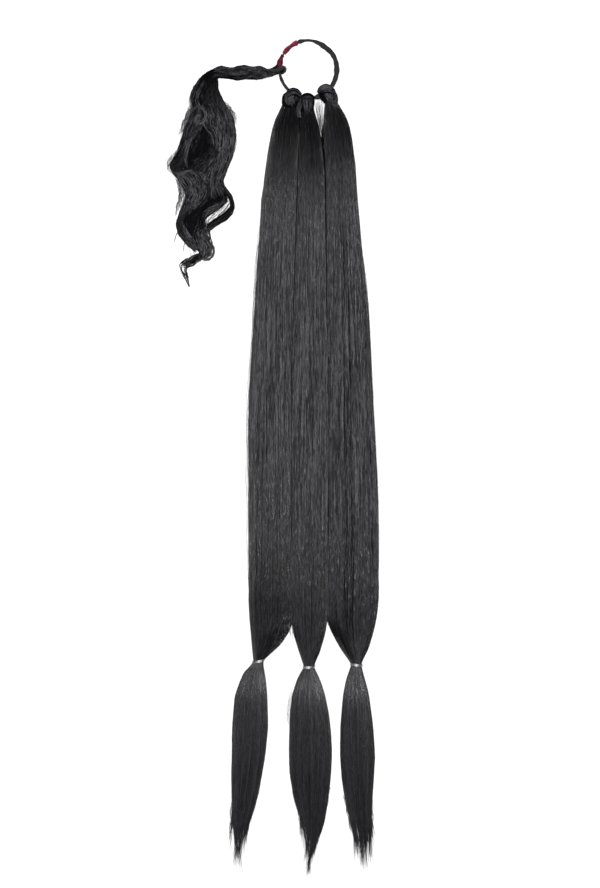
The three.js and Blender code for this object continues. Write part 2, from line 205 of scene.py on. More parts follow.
def fibreMaterial(name):
    # modacrylic hair fibre, crimped: near black, with a sheen that its kinks break into streaks along the
    # hair, painted into its colour as light streaks (painted sheen), and long partings between locks, painted
    # as darker streaks (painted shade); loose hair gets more of the light streaks; single hairs are finer
    # than a pixel, so both go lock by lock
    material, tree = newMaterial(name)
    light, combed, grain, gloss = fibreFinish[name]
    tone, across, along, loose = readAttributes(tree, "tone", "across", "along", "loose")
    streaks = []
    for kind in ("streak", "part"):
        place = addNode(tree, "ShaderNodeCombineXYZ", None, {
            "X": addMath(tree, "DIVIDE", across, fibre[kind + "Wide"]),
            "Y": addMath(tree, "DIVIDE", along, fibre[kind + "Long"])})
        streaks.append(addNode(tree, "ShaderNodeTexNoise", None, {
            "Vector": place.outputs[0], "Scale": 1.0, "Detail": 3.0, "Roughness": 0.62}).outputs[0])
    both = addNode(tree, "ShaderNodeMix", {"data_type": "FLOAT"}, {
        0: fibre["partShare"], 2: streaks[0], 3: streaks[1]}).outputs[0]
    # combed hair keeps only the brightest of them, as painted sheen
    spark = mapRange(tree, both, fibre["combedStreaks"], (0.0, grain))
    lit = addMath(tree, "MULTIPLY_ADD", mapRange(tree, both, fibre["looseStreaks"]), loose, spark)
    single = addNode(tree, "ShaderNodeMath", {"operation": "MULTIPLY_ADD", "use_clamp": True}, {
        0: tone, 1: fibre["ownTone"], 2: lit}).outputs[0]
    # loose hair is matt between its streaks, and never as smooth as combed hair
    dull = addMath(tree, "SUBTRACT", loose, lit)
    smoothest = addMath(tree, "MULTIPLY_ADD", loose, fibre["ruffled"], combed)
    rough = mapRange(tree, dull, wanted=(smoothest, fibre["matte"]))
    # the kinks of neighbouring hairs go together over a millimetre, and tilt the hair only along its run
    tuft = addMath(tree, "SNAP", across, fibre["kinkWide"])
    place = addNode(tree, "ShaderNodeCombineXYZ", None, {
        "X": addMath(tree, "MULTIPLY", tuft, fibre["kinkApart"]),
        "Y": addMath(tree, "DIVIDE", along, fibre["kinkLong"])})
    kink = addNode(tree, "ShaderNodeTexNoise", None,
                   {"Vector": place.outputs[0], "Scale": 1.0, "Detail": 1.0})
    crimped = addMath(tree, "MULTIPLY", kink.outputs[0], loose)
    finishMaterial(tree, {
        "Base Color": mixColours(tree, single, fibre["dark"], light), "Roughness": rough,
        "Normal": addBump(tree, 1.0, fibre["kinkHeight"], crimped), "IOR": 1.52,
        "Specular IOR Level": gloss})
    return material


shadow = {"dark": "#030304", "light": "#0d0d0f", "grainWide": 0.8, "grainLong": 20, "relief": 0.3}


def shadeMaterial():
    # painted shade: hair in the shade inside a bundle, near black, with no sheen and only a dull grain
    material, tree = newMaterial("shadedFibre")
    place = addNode(tree, "ShaderNodeTexCoord")
    fine, long = (1 / (shadow[name] * mm) for name in ("grainWide", "grainLong"))
    stretch = addNode(tree, "ShaderNodeMapping", None, {
        "Vector": place.outputs["Object"], "Scale": (fine, long, fine)})
    grain = addNode(tree, "ShaderNodeTexNoise", None,
                    {"Vector": stretch.outputs[0], "Scale": 1.0}).outputs[0]
    finishMaterial(tree, {
        "Base Color": mixColours(tree, grain, shadow["dark"], shadow["light"]), "Roughness": 0.85,
        "Normal": addBump(tree, 0.6, shadow["relief"], grain), "Specular IOR Level": 0.04})
    return material


def waveScale(pitch):
    # a wave texture's scale for one wave in each pitch
    return 2 * math.pi / 20 / pitch


braid = {"dark": "#0a0b0b", "light": "#232424", "pitch": 1.3, "relief": 0.16, "fuzz": 0.7}


def braidMaterial():
    # polyester yarn braided over a rubber core: matt charcoal with a small herringbone
    material, tree = newMaterial("braidedPolyester")
    along, across = readAttributes(tree, "along", "across")
    yarns = []
    for lean in (1.0, -1.0):
        slant = addMath(tree, "MULTIPLY_ADD", across, lean, along)
        place = addNode(tree, "ShaderNodeCombineXYZ", None, {"X": slant})
        yarns.append(addNode(tree, "ShaderNodeTexWave", {"wave_profile": "SIN"}, {
            "Vector": place.outputs[0], "Scale": waveScale(braid["pitch"]),
            "Distortion": 0.4}).outputs["Fac"])
    place = addNode(tree, "ShaderNodeTexCoord")
    fuzz = addNode(tree, "ShaderNodeTexNoise", None, {
        "Vector": place.outputs["Object"], "Scale": 1 / (braid["fuzz"] * mm), "Detail": 3.0})
    height = addMath(tree, "MULTIPLY", addMath(tree, "MAXIMUM", *yarns), fuzz.outputs[0])
    finishMaterial(tree, {
        "Base Color": mixColours(tree, height, braid["dark"], braid["light"]), "Roughness": 0.72,
        "Normal": addBump(tree, 0.8, braid["relief"], height), "Specular IOR Level": 0.3,
        "Sheen Weight": 0.04})
    return material


# worn is the size of its worn spots; full is how far its turns stand out, flare how much more at the last one
thread = {
    "dark": "#380a18", "light": "#b41c48", "worn": 4.0, "wornRange": (0.38, 0.58), "wornTone": 0.5,
    "twist": 0.9, "relief": 0.06, "width": 0.42, "pitch": 0.36, "perTurn": 14, "full": 1.18,
    "flare": {"red_binding_upper": 0.0, "red_binding_lower": 0.35},
    "bright": {"red_binding_upper": 1.0, "red_binding_lower": 0.5},
    "lumps": 9, "lumpSize": 0.16, "slips": 0.23, "slipSize": 0.5, "swells": 0.31, "swellSize": 0.1,
    "turnLength": 8,  # of thread in one turn
}


def threadMaterial():
    # spun polyester sewing thread: crimson, satin, with the slant of its twist
    material, tree = newMaterial("crimsonThread")
    along, tone = readAttributes(tree, "along", "tone")
    place = addNode(tree, "ShaderNodeCombineXYZ", None, {"X": along, "Y": tone})
    twist = addNode(tree, "ShaderNodeTexWave", {"bands_direction": "DIAGONAL"}, {
        "Vector": place.outputs[0], "Scale": waveScale(thread["twist"]), "Distortion": 1.5}).outputs["Fac"]
    spot = addNode(tree, "ShaderNodeTexCoord")
    worn = addNode(tree, "ShaderNodeTexNoise", None, {
        "Vector": spot.outputs["Object"], "Scale": 1 / (thread["worn"] * mm), "Detail": 2.0})
    fresh = mapRange(tree, worn.outputs[0], thread["wornRange"], (thread["wornTone"], 1.0))
    bright = addMath(tree, "MULTIPLY", addMath(tree, "MULTIPLY", twist, fresh), tone)
    finishMaterial(tree, {
        "Base Color": mixColours(tree, bright, thread["dark"], thread["light"]), "Roughness": 0.5,
        "Normal": addBump(tree, 0.5, thread["relief"], twist), "Specular IOR Level": 0.25})
    return material


# a painted glint on its upper side: the photo column where it lies, and how far it spreads; its milky patches
# are partly its own milkiness and partly painted glints
band = {
    "tint": "#ffffff", "clear": "#4e5255", "cloud": 2.0, "milkyAndGlints": (0.5, 0.58), "milkyAndGlintsShare": 0.22,
    "rough": (0.05, 0.25), "width": 0.85, "turns": 3.0, "spacing": 0.6, "perTurn": 40, "start": 0.6,
    "tilt": {"left": 14.0, "middle": 4.0, "right": -8.0},
    "paintedGlint": {"left": 259.4, "middle": 308.2, "right": 356.4}, "paintedGlintReach": 1.5,
}


def bandMaterial():
    # moulded polyurethane band: clear and glossy, with milky patches that are partly its own milkiness where
    # stretched and partly painted glints, and a white spot on its upper side, a painted glint
    material, tree = newMaterial("clearPolyurethane")
    place = addNode(tree, "ShaderNodeTexCoord")
    cloud = addNode(tree, "ShaderNodeTexNoise", None, {
        "Vector": place.outputs["Object"], "Scale": 1 / (band["cloud"] * mm), "Detail": 1.0}).outputs[0]
    paintedGlint, = readAttributes(tree, "tone")
    white = addNode(tree, "ShaderNodeMath", {"operation": "MULTIPLY_ADD", "use_clamp": True}, {
        0: mapRange(tree, cloud, band["milkyAndGlints"]), 1: band["milkyAndGlintsShare"], 2: paintedGlint}).outputs[0]
    finishMaterial(tree, {
        "Base Color": mixColours(tree, white, band["clear"], band["tint"]),
        "Roughness": mapRange(tree, cloud, wanted=band["rough"]), "IOR": 1.5, "Transmission Weight": 0.5})
    return material


# Strands: lines with a width, drawn out to closed tubes by one tree

strandApart = 37.0  # how far apart in its noise the lightest and the darkest strand swing


def strandTree():
    tree = bpy.data.node_groups.new("strands", "GeometryNodeTree")
    face = tree.interface
    face.new_socket("Geometry", in_out="INPUT", socket_type="NodeSocketGeometry")
    for name, kind in (("Strand Width", "Float"), ("Sides", "Int"), ("Frizz", "Float"),
                       ("Frizz Length", "Float"), ("Seed", "Float"), ("Finish", "Material")):
        face.new_socket(name, in_out="INPUT", socket_type="NodeSocket" + kind)
    face.new_socket("Geometry", in_out="OUTPUT", socket_type="NodeSocketGeometry")
    given = addNode(tree, "NodeGroupInput").outputs
    lines = addNode(tree, "GeometryNodeMeshToCurve", None, {"Mesh": given["Geometry"]})
    tone, loose, width = (
        addNode(tree, "GeometryNodeInputNamedAttribute", {"data_type": "FLOAT"}, {"Name": name}).outputs[0]
        for name in ("tone", "loose", "taper"))
    # each strand swings by its own noise, as far as it lies loose
    place = addNode(tree, "GeometryNodeInputPosition")
    apart = addNode(tree, "ShaderNodeVectorMath", {"operation": "DIVIDE"}, {
        0: place.outputs[0], 1: given["Frizz Length"]})
    noise = addNode(tree, "ShaderNodeTexNoise", {"noise_dimensions": "4D"}, {
        "Vector": apart.outputs[0], "W": addMath(tree, "MULTIPLY_ADD", tone, strandApart, given["Seed"]),
        "Scale": 1.0, "Detail": 1.0})
    swing = addNode(tree, "ShaderNodeVectorMath", {"operation": "SUBTRACT"}, {
        0: noise.outputs["Color"], 1: (0.5, 0.5, 0.5)})
    offset = addNode(tree, "ShaderNodeVectorMath", {"operation": "SCALE"}, {
        0: swing.outputs[0], "Scale": addMath(tree, "MULTIPLY", loose, given["Frizz"])})
    moved = addNode(tree, "GeometryNodeSetPosition", None, {
        "Geometry": lines.outputs[0], "Offset": offset.outputs[0]})
    section = addNode(tree, "GeometryNodeCurvePrimitiveCircle", None, {
        "Resolution": given["Sides"], "Radius": 0.5})
    tubes = addNode(tree, "GeometryNodeCurveToMesh", None, {
        "Curve": moved.outputs[0], "Profile Curve": section.outputs[0],
        "Scale": addMath(tree, "MULTIPLY", width, given["Strand Width"]), "Fill Caps": True})
    smooth = addNode(tree, "GeometryNodeSetShadeSmooth", None, {"Geometry": tubes.outputs[0]})
    real = addNode(tree, "GeometryNodeRealizeInstances", None, {"Geometry": smooth.outputs[0]})
    painted = addNode(tree, "GeometryNodeSetMaterial", None, {
        "Geometry": real.outputs[0], "Material": given["Finish"]})
    addNode(tree, "NodeGroupOutput", None, {0: painted.outputs[0]})
    return tree


def drawStrands(name, groups, material, width, sides=3, frizz=0.0, frizzLength=20.0, seed=1.0):
    # groups: dicts of points (strands, steps, 3), with taper, along, across and loose (strands, steps) and
    # tone (strands); what a group leaves out is 1
    points, edges, first = [], [], 0
    columns = {key: [] for key in ("taper", "along", "across", "tone", "loose")}
    for group in groups:
        strands, steps, _ = group["points"].shape
        index = first + np.arange(strands * steps).reshape(strands, steps)
        edges.append(np.stack([index[:, :-1], index[:, 1:]], axis=-1).reshape(-1, 2))
        points.append(group["points"].reshape(-1, 3))
        for key in columns:
            value = group[key] if key in group else np.ones((strands, steps))
            value = value[:, None] if value.ndim == 1 else value
            columns[key].append(np.broadcast_to(value, (strands, steps)).reshape(-1))
        first += strands * steps
    mesh = bpy.data.meshes.new(name)
    mesh.from_pydata((np.vstack(points) * mm).tolist(), np.vstack(edges).tolist(), [])
    for key, values in columns.items():
        mesh.attributes.new(key, "FLOAT", "POINT").data.foreach_set("value", np.concatenate(values))
    piece = bpy.data.objects.new(name, mesh)
    bpy.context.collection.objects.link(piece)
    modifier = piece.modifiers.new("strands", "NODES")
    modifier.node_group = strands3d
    items = strands3d.interface.items_tree
    sockets = {item.name: item.identifier for item in items if item.in_out == "INPUT"}
    values = {"Strand Width": width * mm, "Sides": sides, "Frizz": frizz * mm,
              "Frizz Length": frizzLength * mm, "Seed": seed, "Finish": material}
    for key, value in values.items():
        modifier[sockets[key]] = value
    return asPlainMesh(piece)


def asPlainMesh(piece):
    graph = bpy.context.evaluated_depsgraph_get()
    mesh = bpy.data.meshes.new_from_object(piece.evaluated_get(graph), depsgraph=graph)
    piece.modifiers.clear()
    old = piece.data
    piece.data = mesh
    bpy.data.meshes.remove(old)
    mesh.name = piece.name
    return piece


def loftPiece(name, skins, material, closed=False):
    # one skin through each list of loops of equal length, capped at both ends or closed to a ring
    points, faces = [], []
    for loops in skins:
        count, first = len(loops[0]), sum(len(block) for block in points)
        points.append(np.vstack(loops))
        for i in range(len(loops) - 1):
            here, there = first + i * count, first + (i + 1) * count
            faces += [(here + j, here + (j + 1) % count, there + (j + 1) % count,
                       there + j) for j in range(count)]
        last = first + (len(loops) - 1) * count
        if closed:
            faces += [(last + j, last + (j + 1) % count, first + (j + 1) % count,
                       first + j) for j in range(count)]
        else:
            faces += [tuple(range(first, first + count)), tuple(range(last, last + count))]
    mesh = bpy.data.meshes.new(name)
    mesh.from_pydata((np.vstack(points) * mm).tolist(), [], faces)
    shell = bmesh.new()
    shell.from_mesh(mesh)
    bmesh.ops.recalc_face_normals(shell, faces=shell.faces)
    shell.to_mesh(mesh)
    shell.free()
    mesh.shade_smooth()
    mesh.materials.append(material)
    piece = bpy.data.objects.new(name, mesh)
    bpy.context.collection.objects.link(piece)
    return piece


def keep(piece, node):
    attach(piece, body)
    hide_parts(node)


# Hanks: sections of the CAD solid, locks of strands over its surface, and a dark core inside, painted shade

def sectionsOf(node, axis):
    # place along the axis, low and high edge across it, underside and top, from the far end to the near one
    corners = cornersOf(node)
    places = np.round(corners[:, axis], 2)
    rows = []
    for place in np.unique(places):
        ring = corners[places == place]
        across = ring[:, 1 - axis]
        rows.append((place, across.min(), across.max(), ring[:, 2].min(), ring[:, 2].max()))
    return np.array(rows[::-1])


def smoothRows(rows, window=11):
    # the same sections at every millimetre, with the corners between them rounded
    fine = np.arange(rows[0, 0], rows[-1, 0] - 0.5, -1.0)
    kernel = np.hanning(window + 2)[1:-1]
    kernel /= kernel.sum()
    columns = [fine]
    for k in range(1, rows.shape[1]):
        column = np.interp(-fine, -rows[:, 0], rows[:, k])
        padded = np.pad(column, window // 2, mode="reflect", reflect_type="odd")
        columns.append(np.convolve(padded, kernel, "valid"))
    return np.stack(columns, axis=1)


# the CAD's section of a lying bundle, and the size at which places round it are evened out
dome = {"shoulder": 0.4, "squareness": 0.8, "belly": 1.35, "half": 17.0, "thick": 15.0, "under": 0.45,
        "points": 400}


def domeShape(angle):
    # across from -1 to 1 and height from 0 to 1 of a point of the section, at an angle from its right edge
    flat = np.abs(np.cos(angle)) ** dome["squareness"] * np.sign(np.cos(angle))
    rise = np.sin(angle)
    below = dome["shoulder"] * np.maximum(0, 1 - dome["belly"] * np.abs(rise) ** dome["squareness"])
    return flat, np.where(rise >= 0, dome["shoulder"] + (1 - dome["shoulder"]) * rise, below)


def domeAngles(share):
    # angle of a share of the way round the section, even along its skin, from under one edge to under the
    # other, and the length of that way
    fine = np.linspace(-dome["under"], math.pi + dome["under"], dome["points"])
    across, height = domeShape(fine)
    length = np.hypot(np.diff(across * dome["half"]), np.diff(height * dome["thick"]))
    travel = np.concatenate([[0], np.cumsum(length)])
    return np.interp(share * travel[-1], travel, fine), travel[-1]


waveStretch = (0.75, 1.3)


def waver(rng, count, places, lengths, size):
    # smooth random swing of each of count lines at places in mm, from waves of the given lengths
    swing = np.zeros((count, places.shape[-1]))
    for length in lengths:
        phase = rng.uniform(0, 2 * math.pi, (count, 1))
        stretch = rng.uniform(*waveStretch, (count, 1))
        swing += np.sin(places * 2 * math.pi / (length * stretch) + phase)
    return swing * size / len(lengths)


def ease(value, start, stop):
    # 0 before start, 1 after stop, smooth between
    t = np.clip((value - start) / (stop - start), 0, 1)
    return t * t * (3 - 2 * t)


def turnedBack(place):
    # places from 0 to 1: what passes an end comes back from it
    place = np.abs(place)
    return np.clip(1 - np.abs(1 - place), 0, 1)


def tableAt(table, line, place):
    # value of one of a table's lines at places from 0 to 1 along it
    at = np.clip(place, 0, 1) * (table.shape[1] - 1)
    low = np.minimum(at.astype(int), table.shape[1] - 2)
    return table[line, low] * (1 - at + low) + table[line, low + 1] * (at - low)


# steps are millimetres from the neck, or from the tie if below zero; in a tail, they are shares of its length
hankLook = {
    "locks": 36, "perLock": 26, "lockRadius": 0.8, "lockDepth": 2.2, "sway": 1.0, "loose": 300,
    "strandWidth": 0.28, "frizz": 0.5, "frizzLength": 30, "streakStretch": 1,
    "steps": (0, 4, 9, 16, 26, 40, 62, 95, 140, 200, 260, 320, -110, -82, -62, -49, -39, -31, -24, -18, -12,
              -7, -3, -0.01),
}
# the ranges of a tail are shares of its length: where it is full, fans out, frays, thins and gathers to tips
tailLook = {
    "locks": 26, "perLock": 40, "lockRadius": 1.4, "lockDepth": 0.8, "sway": 0.9, "loose": 460,
    "strandWidth": 0.23, "frizz": 1.0, "frizzLength": 22, "streakStretch": 0.22, "matted": 0.32,
    "fullTo": (0.68, 0.92), "wisps": 0.15, "fansOut": (0.02, 0.15), "frays": (0.58, 0.78),
    "thins": (0.72, 1), "thinBy": 0.6, "pointed": 0.5, "gathers": (0.84, 1), "drawnIn": 0.85,
    "tipSpread": 1.1, "ownSpread": 1.5, "tipRagged": 4.0, "outerShort": 24, "outerPower": 4,
    "tipHeight": (0.6, 1.6), "grow": (0.6, 1.0),
    "steps": (0, .015, .04, .075, .12, .18, .26, .36, .48, .6, .71, .81, .89, .95, 1),
}
# what body and tail share: waves of locks, strands and strays, and how far from the knot or the band they are
# held, open out, swell or lean
hankRun = {
    "jitter": 0.45, "lockPoints": 40, "lockSway": (150, 70), "lockRise": (110, 45), "lockShift": (0.2, 0.8),
    "lockHollow": 0.15, "lockApart": 13, "lockSunk": 0.9, "drawnThin": 0.5, "strandWaves": (120, 50),
    "strandSwing": 0.35, "strayWaves": (260, 110), "straySwing": 1.8, "strayDepth": (-0.1, 0.5),
    "knotHolds": (5, 60), "bandHolds": (20, 120), "spanOpens": (110, 290), "spanOpened": 0.85,
    "neckSwells": 15, "tieSwells": (2, 14), "tieCalms": (48, 100), "leastScale": 0.3, "underLift": 0.5,
    "leaning": (0.1, 0.38), "leanSmooth": 0.9,
}
# where the clumps of each tail run out, from the left: photo column and row, and how many locks run there
tailTips = {
    "left": [(229, 848, 4), (231, 868, 3), (235, 870, 6), (240, 864, 6), (244, 856, 4), (248, 842, 3)],
    "middle": [(300, 850, 4), (304, 864, 4), (307, 872, 5), (308, 879, 6), (313, 864, 4), (319, 850, 3)],
    "right": [(356, 874, 4), (358.5, 866, 5), (363, 870, 6), (366, 871, 4), (372, 868, 4), (374, 852, 3)],
}
# thin hair that leaves the sides of the tails before their ends
wispHair = {"steps": 14, "clumps": 7, "depth": 1.0, "wave": 0.8, "waveLength": 30, "ragged": 0.3,
            "pointed": True, "thin": 0.8, "lit": 0.3}


def hankStrands(rows, look, rng, grow, near, fade=None, span=(0.0, 1.0), smooth=None, tips=None):
    # strands laid in locks over the skin of a hank between its first and last section; grow is how far they
    # pass its left and right edge at the neck, up to fade, or in the tail, near how far where the body closes
    # to its band or how far they stay inside where a tail frays, span the part of the way round that they
    # cover near the neck, from under the right edge to under the left one, and smooth how far they lie
    # combed from the knot and from the band, and how much at the band; a tail has tips
    run = hankRun
    locks, laid = look["locks"], look["locks"] * look["perLock"]
    total = laid + look["loose"]
    lock = np.concatenate([np.repeat(np.arange(locks), look["perLock"]),
                           rng.integers(0, locks, look["loose"])])
    stray = np.arange(total) >= laid
    length = np.full(total, rows[0, 0] - rows[-1, 0])
    steps = np.array(look["steps"], dtype=float)
    if tips is None:
        steps = np.where(steps < 0, length[0] + steps, steps) / length[0]
        reach = np.ones(total)
    else:
        place = fromPhoto(tips)
        owner = np.repeat(np.arange(len(tips)), place[:, 2].astype(int))[::-1]
        tipX = place[owner, 0] + rng.normal(0, look["tipSpread"], locks)
        outer = np.abs(np.linspace(-1, 1, locks)) ** look["outerPower"]
        length = (rows[0, 0] - place[owner, 1] + rng.normal(0, look["tipRagged"], locks)
                  - outer * rng.uniform(0, look["outerShort"], locks))[lock]
        reach = np.where(rng.uniform(0, 1, total) < look["wisps"], rng.uniform(look["fullTo"][1], 1, total),
                         rng.uniform(*look["fullTo"], total))
    # each strand has its points at other places, so that their corners make no bands across the hair
    spacing = np.minimum(np.diff(steps, prepend=0), np.diff(steps, append=1))
    share = reach[:, None] * (steps + run["jitter"] * spacing * rng.uniform(-1, 1, (total, len(steps))))
    along = share * length[:, None]
    lockAt = np.tile(np.linspace(0, length[0], run["lockPoints"]), (locks, 1))
    lockSway = waver(rng, locks, lockAt, run["lockSway"], look["sway"])
    lockRise = waver(rng, locks, lockAt, run["lockRise"], look["lockDepth"] / 2)
    lockSink = rng.uniform(0, look["lockDepth"], locks)
    lockTone = rng.uniform(0, 1, locks)
    lockPlace = (np.arange(locks) + rng.uniform(*run["lockShift"], locks)) / locks

    spin = rng.uniform(0, 2 * math.pi, total)
    spread = np.sqrt(rng.uniform(run["lockHollow"], 1, total))
    drawn = ease(share, *look["gathers"]) if tips else np.zeros_like(share)
    radius = look["lockRadius"] * spread[:, None] * (1 - run["drawnThin"] * drawn)
    _, skin = domeAngles(np.zeros(1))
    # held still by the knot and by the band
    calm = ease(along, *run["knotHolds"])
    if tips is None:
        calm = calm * ease(length[:, None] - along, *run["bandHolds"])
    aside = radius * np.cos(spin)[:, None] + calm * tableAt(lockSway, lock[:, None], share)
    aside += waver(rng, total, along, run["strandWaves"], run["strandSwing"]) * calm
    sink = calm * tableAt(lockRise, lock[:, None], share) + lockSink[lock][:, None]
    sink += look["lockRadius"] * run["lockSunk"] + radius * np.sin(spin)[:, None]
    swing = waver(rng, look["loose"], along[stray], run["strayWaves"], run["straySwing"])
    aside[stray] += swing * calm[stray]
    sink[stray] = rng.uniform(*run["strayDepth"], look["loose"])[:, None]
    across = lockPlace[lock][:, None] * skin + aside
    wide = 1 - run["spanOpened"] * ease(along, *run["spanOpens"])
    low, high = span[0] * wide, 1 - (1 - span[1]) * wide
    angle, _ = domeAngles(low + (high - low) * turnedBack(across / skin))
    y = rows[0, 0] - along
    left, right, under, top = (np.interp(-y, -rows[:, 0], rows[:, k]) for k in (1, 2, 3, 4))
    half, middle = (right - left) / 2, (right + left) / 2
    scale = np.clip(half / dome["half"], run["leastScale"], 1)
    flat, height = domeShape(angle)
    if tips is None:
        rest = length[:, None] - along
        out = (1 - ease(along, run["neckSwells"], np.where(flat < 0, *fade))) * np.where(flat < 0, *grow)
        swell = ease(rest, *run["tieSwells"]) * (1 - ease(rest, *run["tieCalms"]))
        out += swell * np.where(flat < 0, *near)
    else:
        out = ease(share, *look["fansOut"]) * np.where(flat < 0, *grow)
        out -= ease(share, *look["frays"]) * np.where(flat < 0, *near)
    x = middle + (half + out - sink * scale) * flat
    z = under + (top - under - sink * scale) * height
    z += np.where(np.sin(angle) < 0, sink * scale * run["underLift"], 0)
    taper = np.ones_like(share)
    if tips:
        own = tipX[lock] + rng.normal(0, look["ownSpread"], total)
        x += look["drawnIn"] * drawn * (own[:, None] + radius * np.cos(spin)[:, None] - x)
        z += drawn * (look["tipHeight"][0] + look["tipHeight"][1] * spread[:, None] - z)
        taper = 1 - look["thinBy"] * ease(share, *look["thins"])
        taper[:, -1] *= look["pointed"]
        matted = np.full_like(along, look["matted"])
    else:
        # combed smooth where the knot and the band hold the hair and where it leans aside, rougher between
        # them; the combed hair is also darker in colour, painted shade
        matted = ease(along, *smooth[0]) * (1 - smooth[2] * (1 - ease(rest, *smooth[1])))
        lean = np.abs(np.gradient(x, axis=1) / np.gradient(y, axis=1))
        matted *= 1 - run["leanSmooth"] * ease(lean, *run["leaning"])
    return {
        "points": np.stack([x, y, np.maximum(z, lowest["strand"])], axis=-1),
        "taper": taper, "across": across,
        "along": along * look["streakStretch"] + run["lockApart"] * lock[:, None],
        "tone": np.clip(0.5 * lockTone[lock] + 0.5 * rng.uniform(0, 1, total), 0, 1), "loose": matted,
    }


# hair low along an edge, which draws inside it at both ends
edgeHair = {
    "strands": 80, "steps": 22, "width": 0.26, "frizz": 0.5, "frizzLength": 25, "start": 6, "stop": 4,
    "inside": 2.2, "asideWaves": (170, 60), "aside": 0.5, "heightWaves": (140, 60), "lift": 0.4,
    "opening": (0, 60), "streaksApart": 5,
}
# how far out and how high it lies, where it comes out below the neck, and how light it is: in a groove
# between two hanks, where it is drawn in the shade material as painted shade, and at an outer edge, with
# number and reach of the thin hairs that stand off it
groove = {"out": (-1.6, 1.4), "height": (0.4, 4.5), "closing": (6, 22), "light": 0.1}
outerLow = {"height": (0.4, 6.0), "closing": (30, 150), "light": 0.5}
outerEdge = {
    "left": {**outerLow, "side": "left", "out": (-3.0, -0.6), "flyaways": 80, "reach": 4.6},
    "right": {**outerLow, "side": "right", "out": (-2.4, -0.2), "flyaways": 64, "reach": 3.2},
}
flyaway = {
    "thin": 0.42, "length": (40, 170), "steps": 16, "height": (0.3, 6.0), "start": 70, "stop": 40,
    "bow": 0.7, "inside": 2.2, "asideWaves": (60, 25), "aside": 0.45, "heightWaves": (70,), "lift": 0.6,
}
# how far the body stays inside its outline between neck and tie, where stray hair makes the outline
bodyInset = {"left": (2.4, 0.0), "middle": (0.0, 0.0), "right": (0.0, 1.2)}
# how far it passes its left and right edge at the neck, how far down that goes, and how far at the tie
neckGrow = {"left": (0.9, 0.8), "middle": (0.8, 1.9), "right": (0.2, 2.0)}
neckFade = {"left": (110, 40), "middle": (40, 34), "right": (34, 110)}
tieGrow = {"left": (0.0, 2.7), "middle": (0.2, 1.6), "right": (1.2, 1.6)}
neckDip = {"left": 3.0, "middle": 3.2, "right": 0.0}  # how far a neck's top goes down into its knot
# how far from the knot and from the band a hank lies combed, and how much at the band: smoother, and darker
# in colour as painted shade
combedEnds = {"left": ((35, 195), (85, 240), 0.8), "middle": ((25, 190), (60, 210), 0.7),
              "right": ((15, 180), (50, 200), 0.6)}
tailFray = {"left": (2.0, 0.2), "middle": (2.6, 0.2), "right": (0.6, 0.2)}
# part of the way round that the strands cover: less where a groove divides two hanks
bodySpan = {"left": (0.11, 1.0), "middle": (0.11, 0.89), "right": (0.0, 0.89)}
# how the sections are divided at the tie and rounded, where the body is inset, and the dark core inside,
# painted shade
hankShape = {
    "overlap": 2, "rounding": 27, "dip": (5, 20), "insetFrom": (60, 220), "insetTo": (30, 110),
    "coreEvery": 6, "coreSides": 28, "coreInset": 1.8, "mostInset": 0.45, "coreEnd": 0.74, "coreRound": 5,
    "leastCore": 0.01,
}


def besideEdge(rows, column, along, out, height):
    # points at distances out from one edge of a hank
    y = rows[0, 0] - along
    edge, under = (np.interp(-y, -rows[:, 0], rows[:, k]) for k in (column, 3))
    return np.stack([edge + (out if column == 2 else -out), y, np.maximum(under + height, lowest["edge"])],
                    axis=-1)


def lowHair(rows, column, manner, rng):
    look, count, length = edgeHair, edgeHair["strands"], rows[0, 0] - rows[-1, 0]
    run = np.linspace(0, 1, look["steps"]) * np.ones((count, 1)) * (length - (look["start"] + look["stop"]))
    along = look["start"] + run
    hold = ease(along, *manner["closing"]) * ease(length - look["stop"] - along, *look["opening"])
    out = rng.uniform(*manner["out"], (count, 1))
    out = out + waver(rng, count, along, look["asideWaves"], look["aside"])
    out = out * hold - look["inside"] * (1 - hold)
    height = rng.uniform(*manner["height"], (count, 1))
    height = height + waver(rng, count, along, look["heightWaves"], look["lift"])
    return {"points": besideEdge(rows, column, along, out, height), "taper": np.ones_like(along),
            "along": along, "across": out + look["streaksApart"] * column,
            "tone": manner["light"] * rng.uniform(0, 1, count), "loose": manner["light"] * hold}


def flyaways(rows, column, manner, rng):
    # thin hairs that stand off an outer edge for part of its length
    look, count, length = flyaway, manner["flyaways"], rows[0, 0] - rows[-1, 0]
    share = np.linspace(0, 1, look["steps"]) * np.ones((count, 1))
    span = rng.uniform(*look["length"], (count, 1))
    along = rng.uniform(look["start"], length - look["stop"] - span) + share * span
    reach = manner["reach"] * rng.uniform(0, 1, (count, 1))
    out = reach * np.sin(math.pi * share) ** look["bow"] - look["inside"]
    out += waver(rng, count, along, look["asideWaves"], look["aside"])
    height = rng.uniform(*look["height"], (count, 1))
    height = height + waver(rng, count, along, look["heightWaves"], look["lift"])
    return {"points": besideEdge(rows, column, along, out, height),
            "taper": np.full_like(share, look["thin"]), "along": along, "across": out,
            "tone": rng.uniform(0, 1, count), "loose": np.ones_like(share)}


def edgePieces(side, rows, rng):
    # hair along both edges: lit with flyaways on the outside, shaded in the grooves between hanks
    lit, shaded = [], []
    for name, column in (("left", 1), ("right", 2)):
        outer = outerEdge.get(side)
        if outer and outer["side"] == name:
            lit.append(lowHair(rows, column, outer, rng))
            lit.append(flyaways(rows, column, outer, rng))
        else:
            shaded.append(lowHair(rows, column, groove, rng))
    return [drawStrands(f"hank_{side}_{part}", groups, material, edgeHair["width"], frizz=edgeHair["frizz"],
                        frizzLength=edgeHair["frizzLength"], seed=rng.uniform(0, 99))
            for part, groups, material in (("edge", lit, hair), ("grooves", shaded, shade)) if groups]


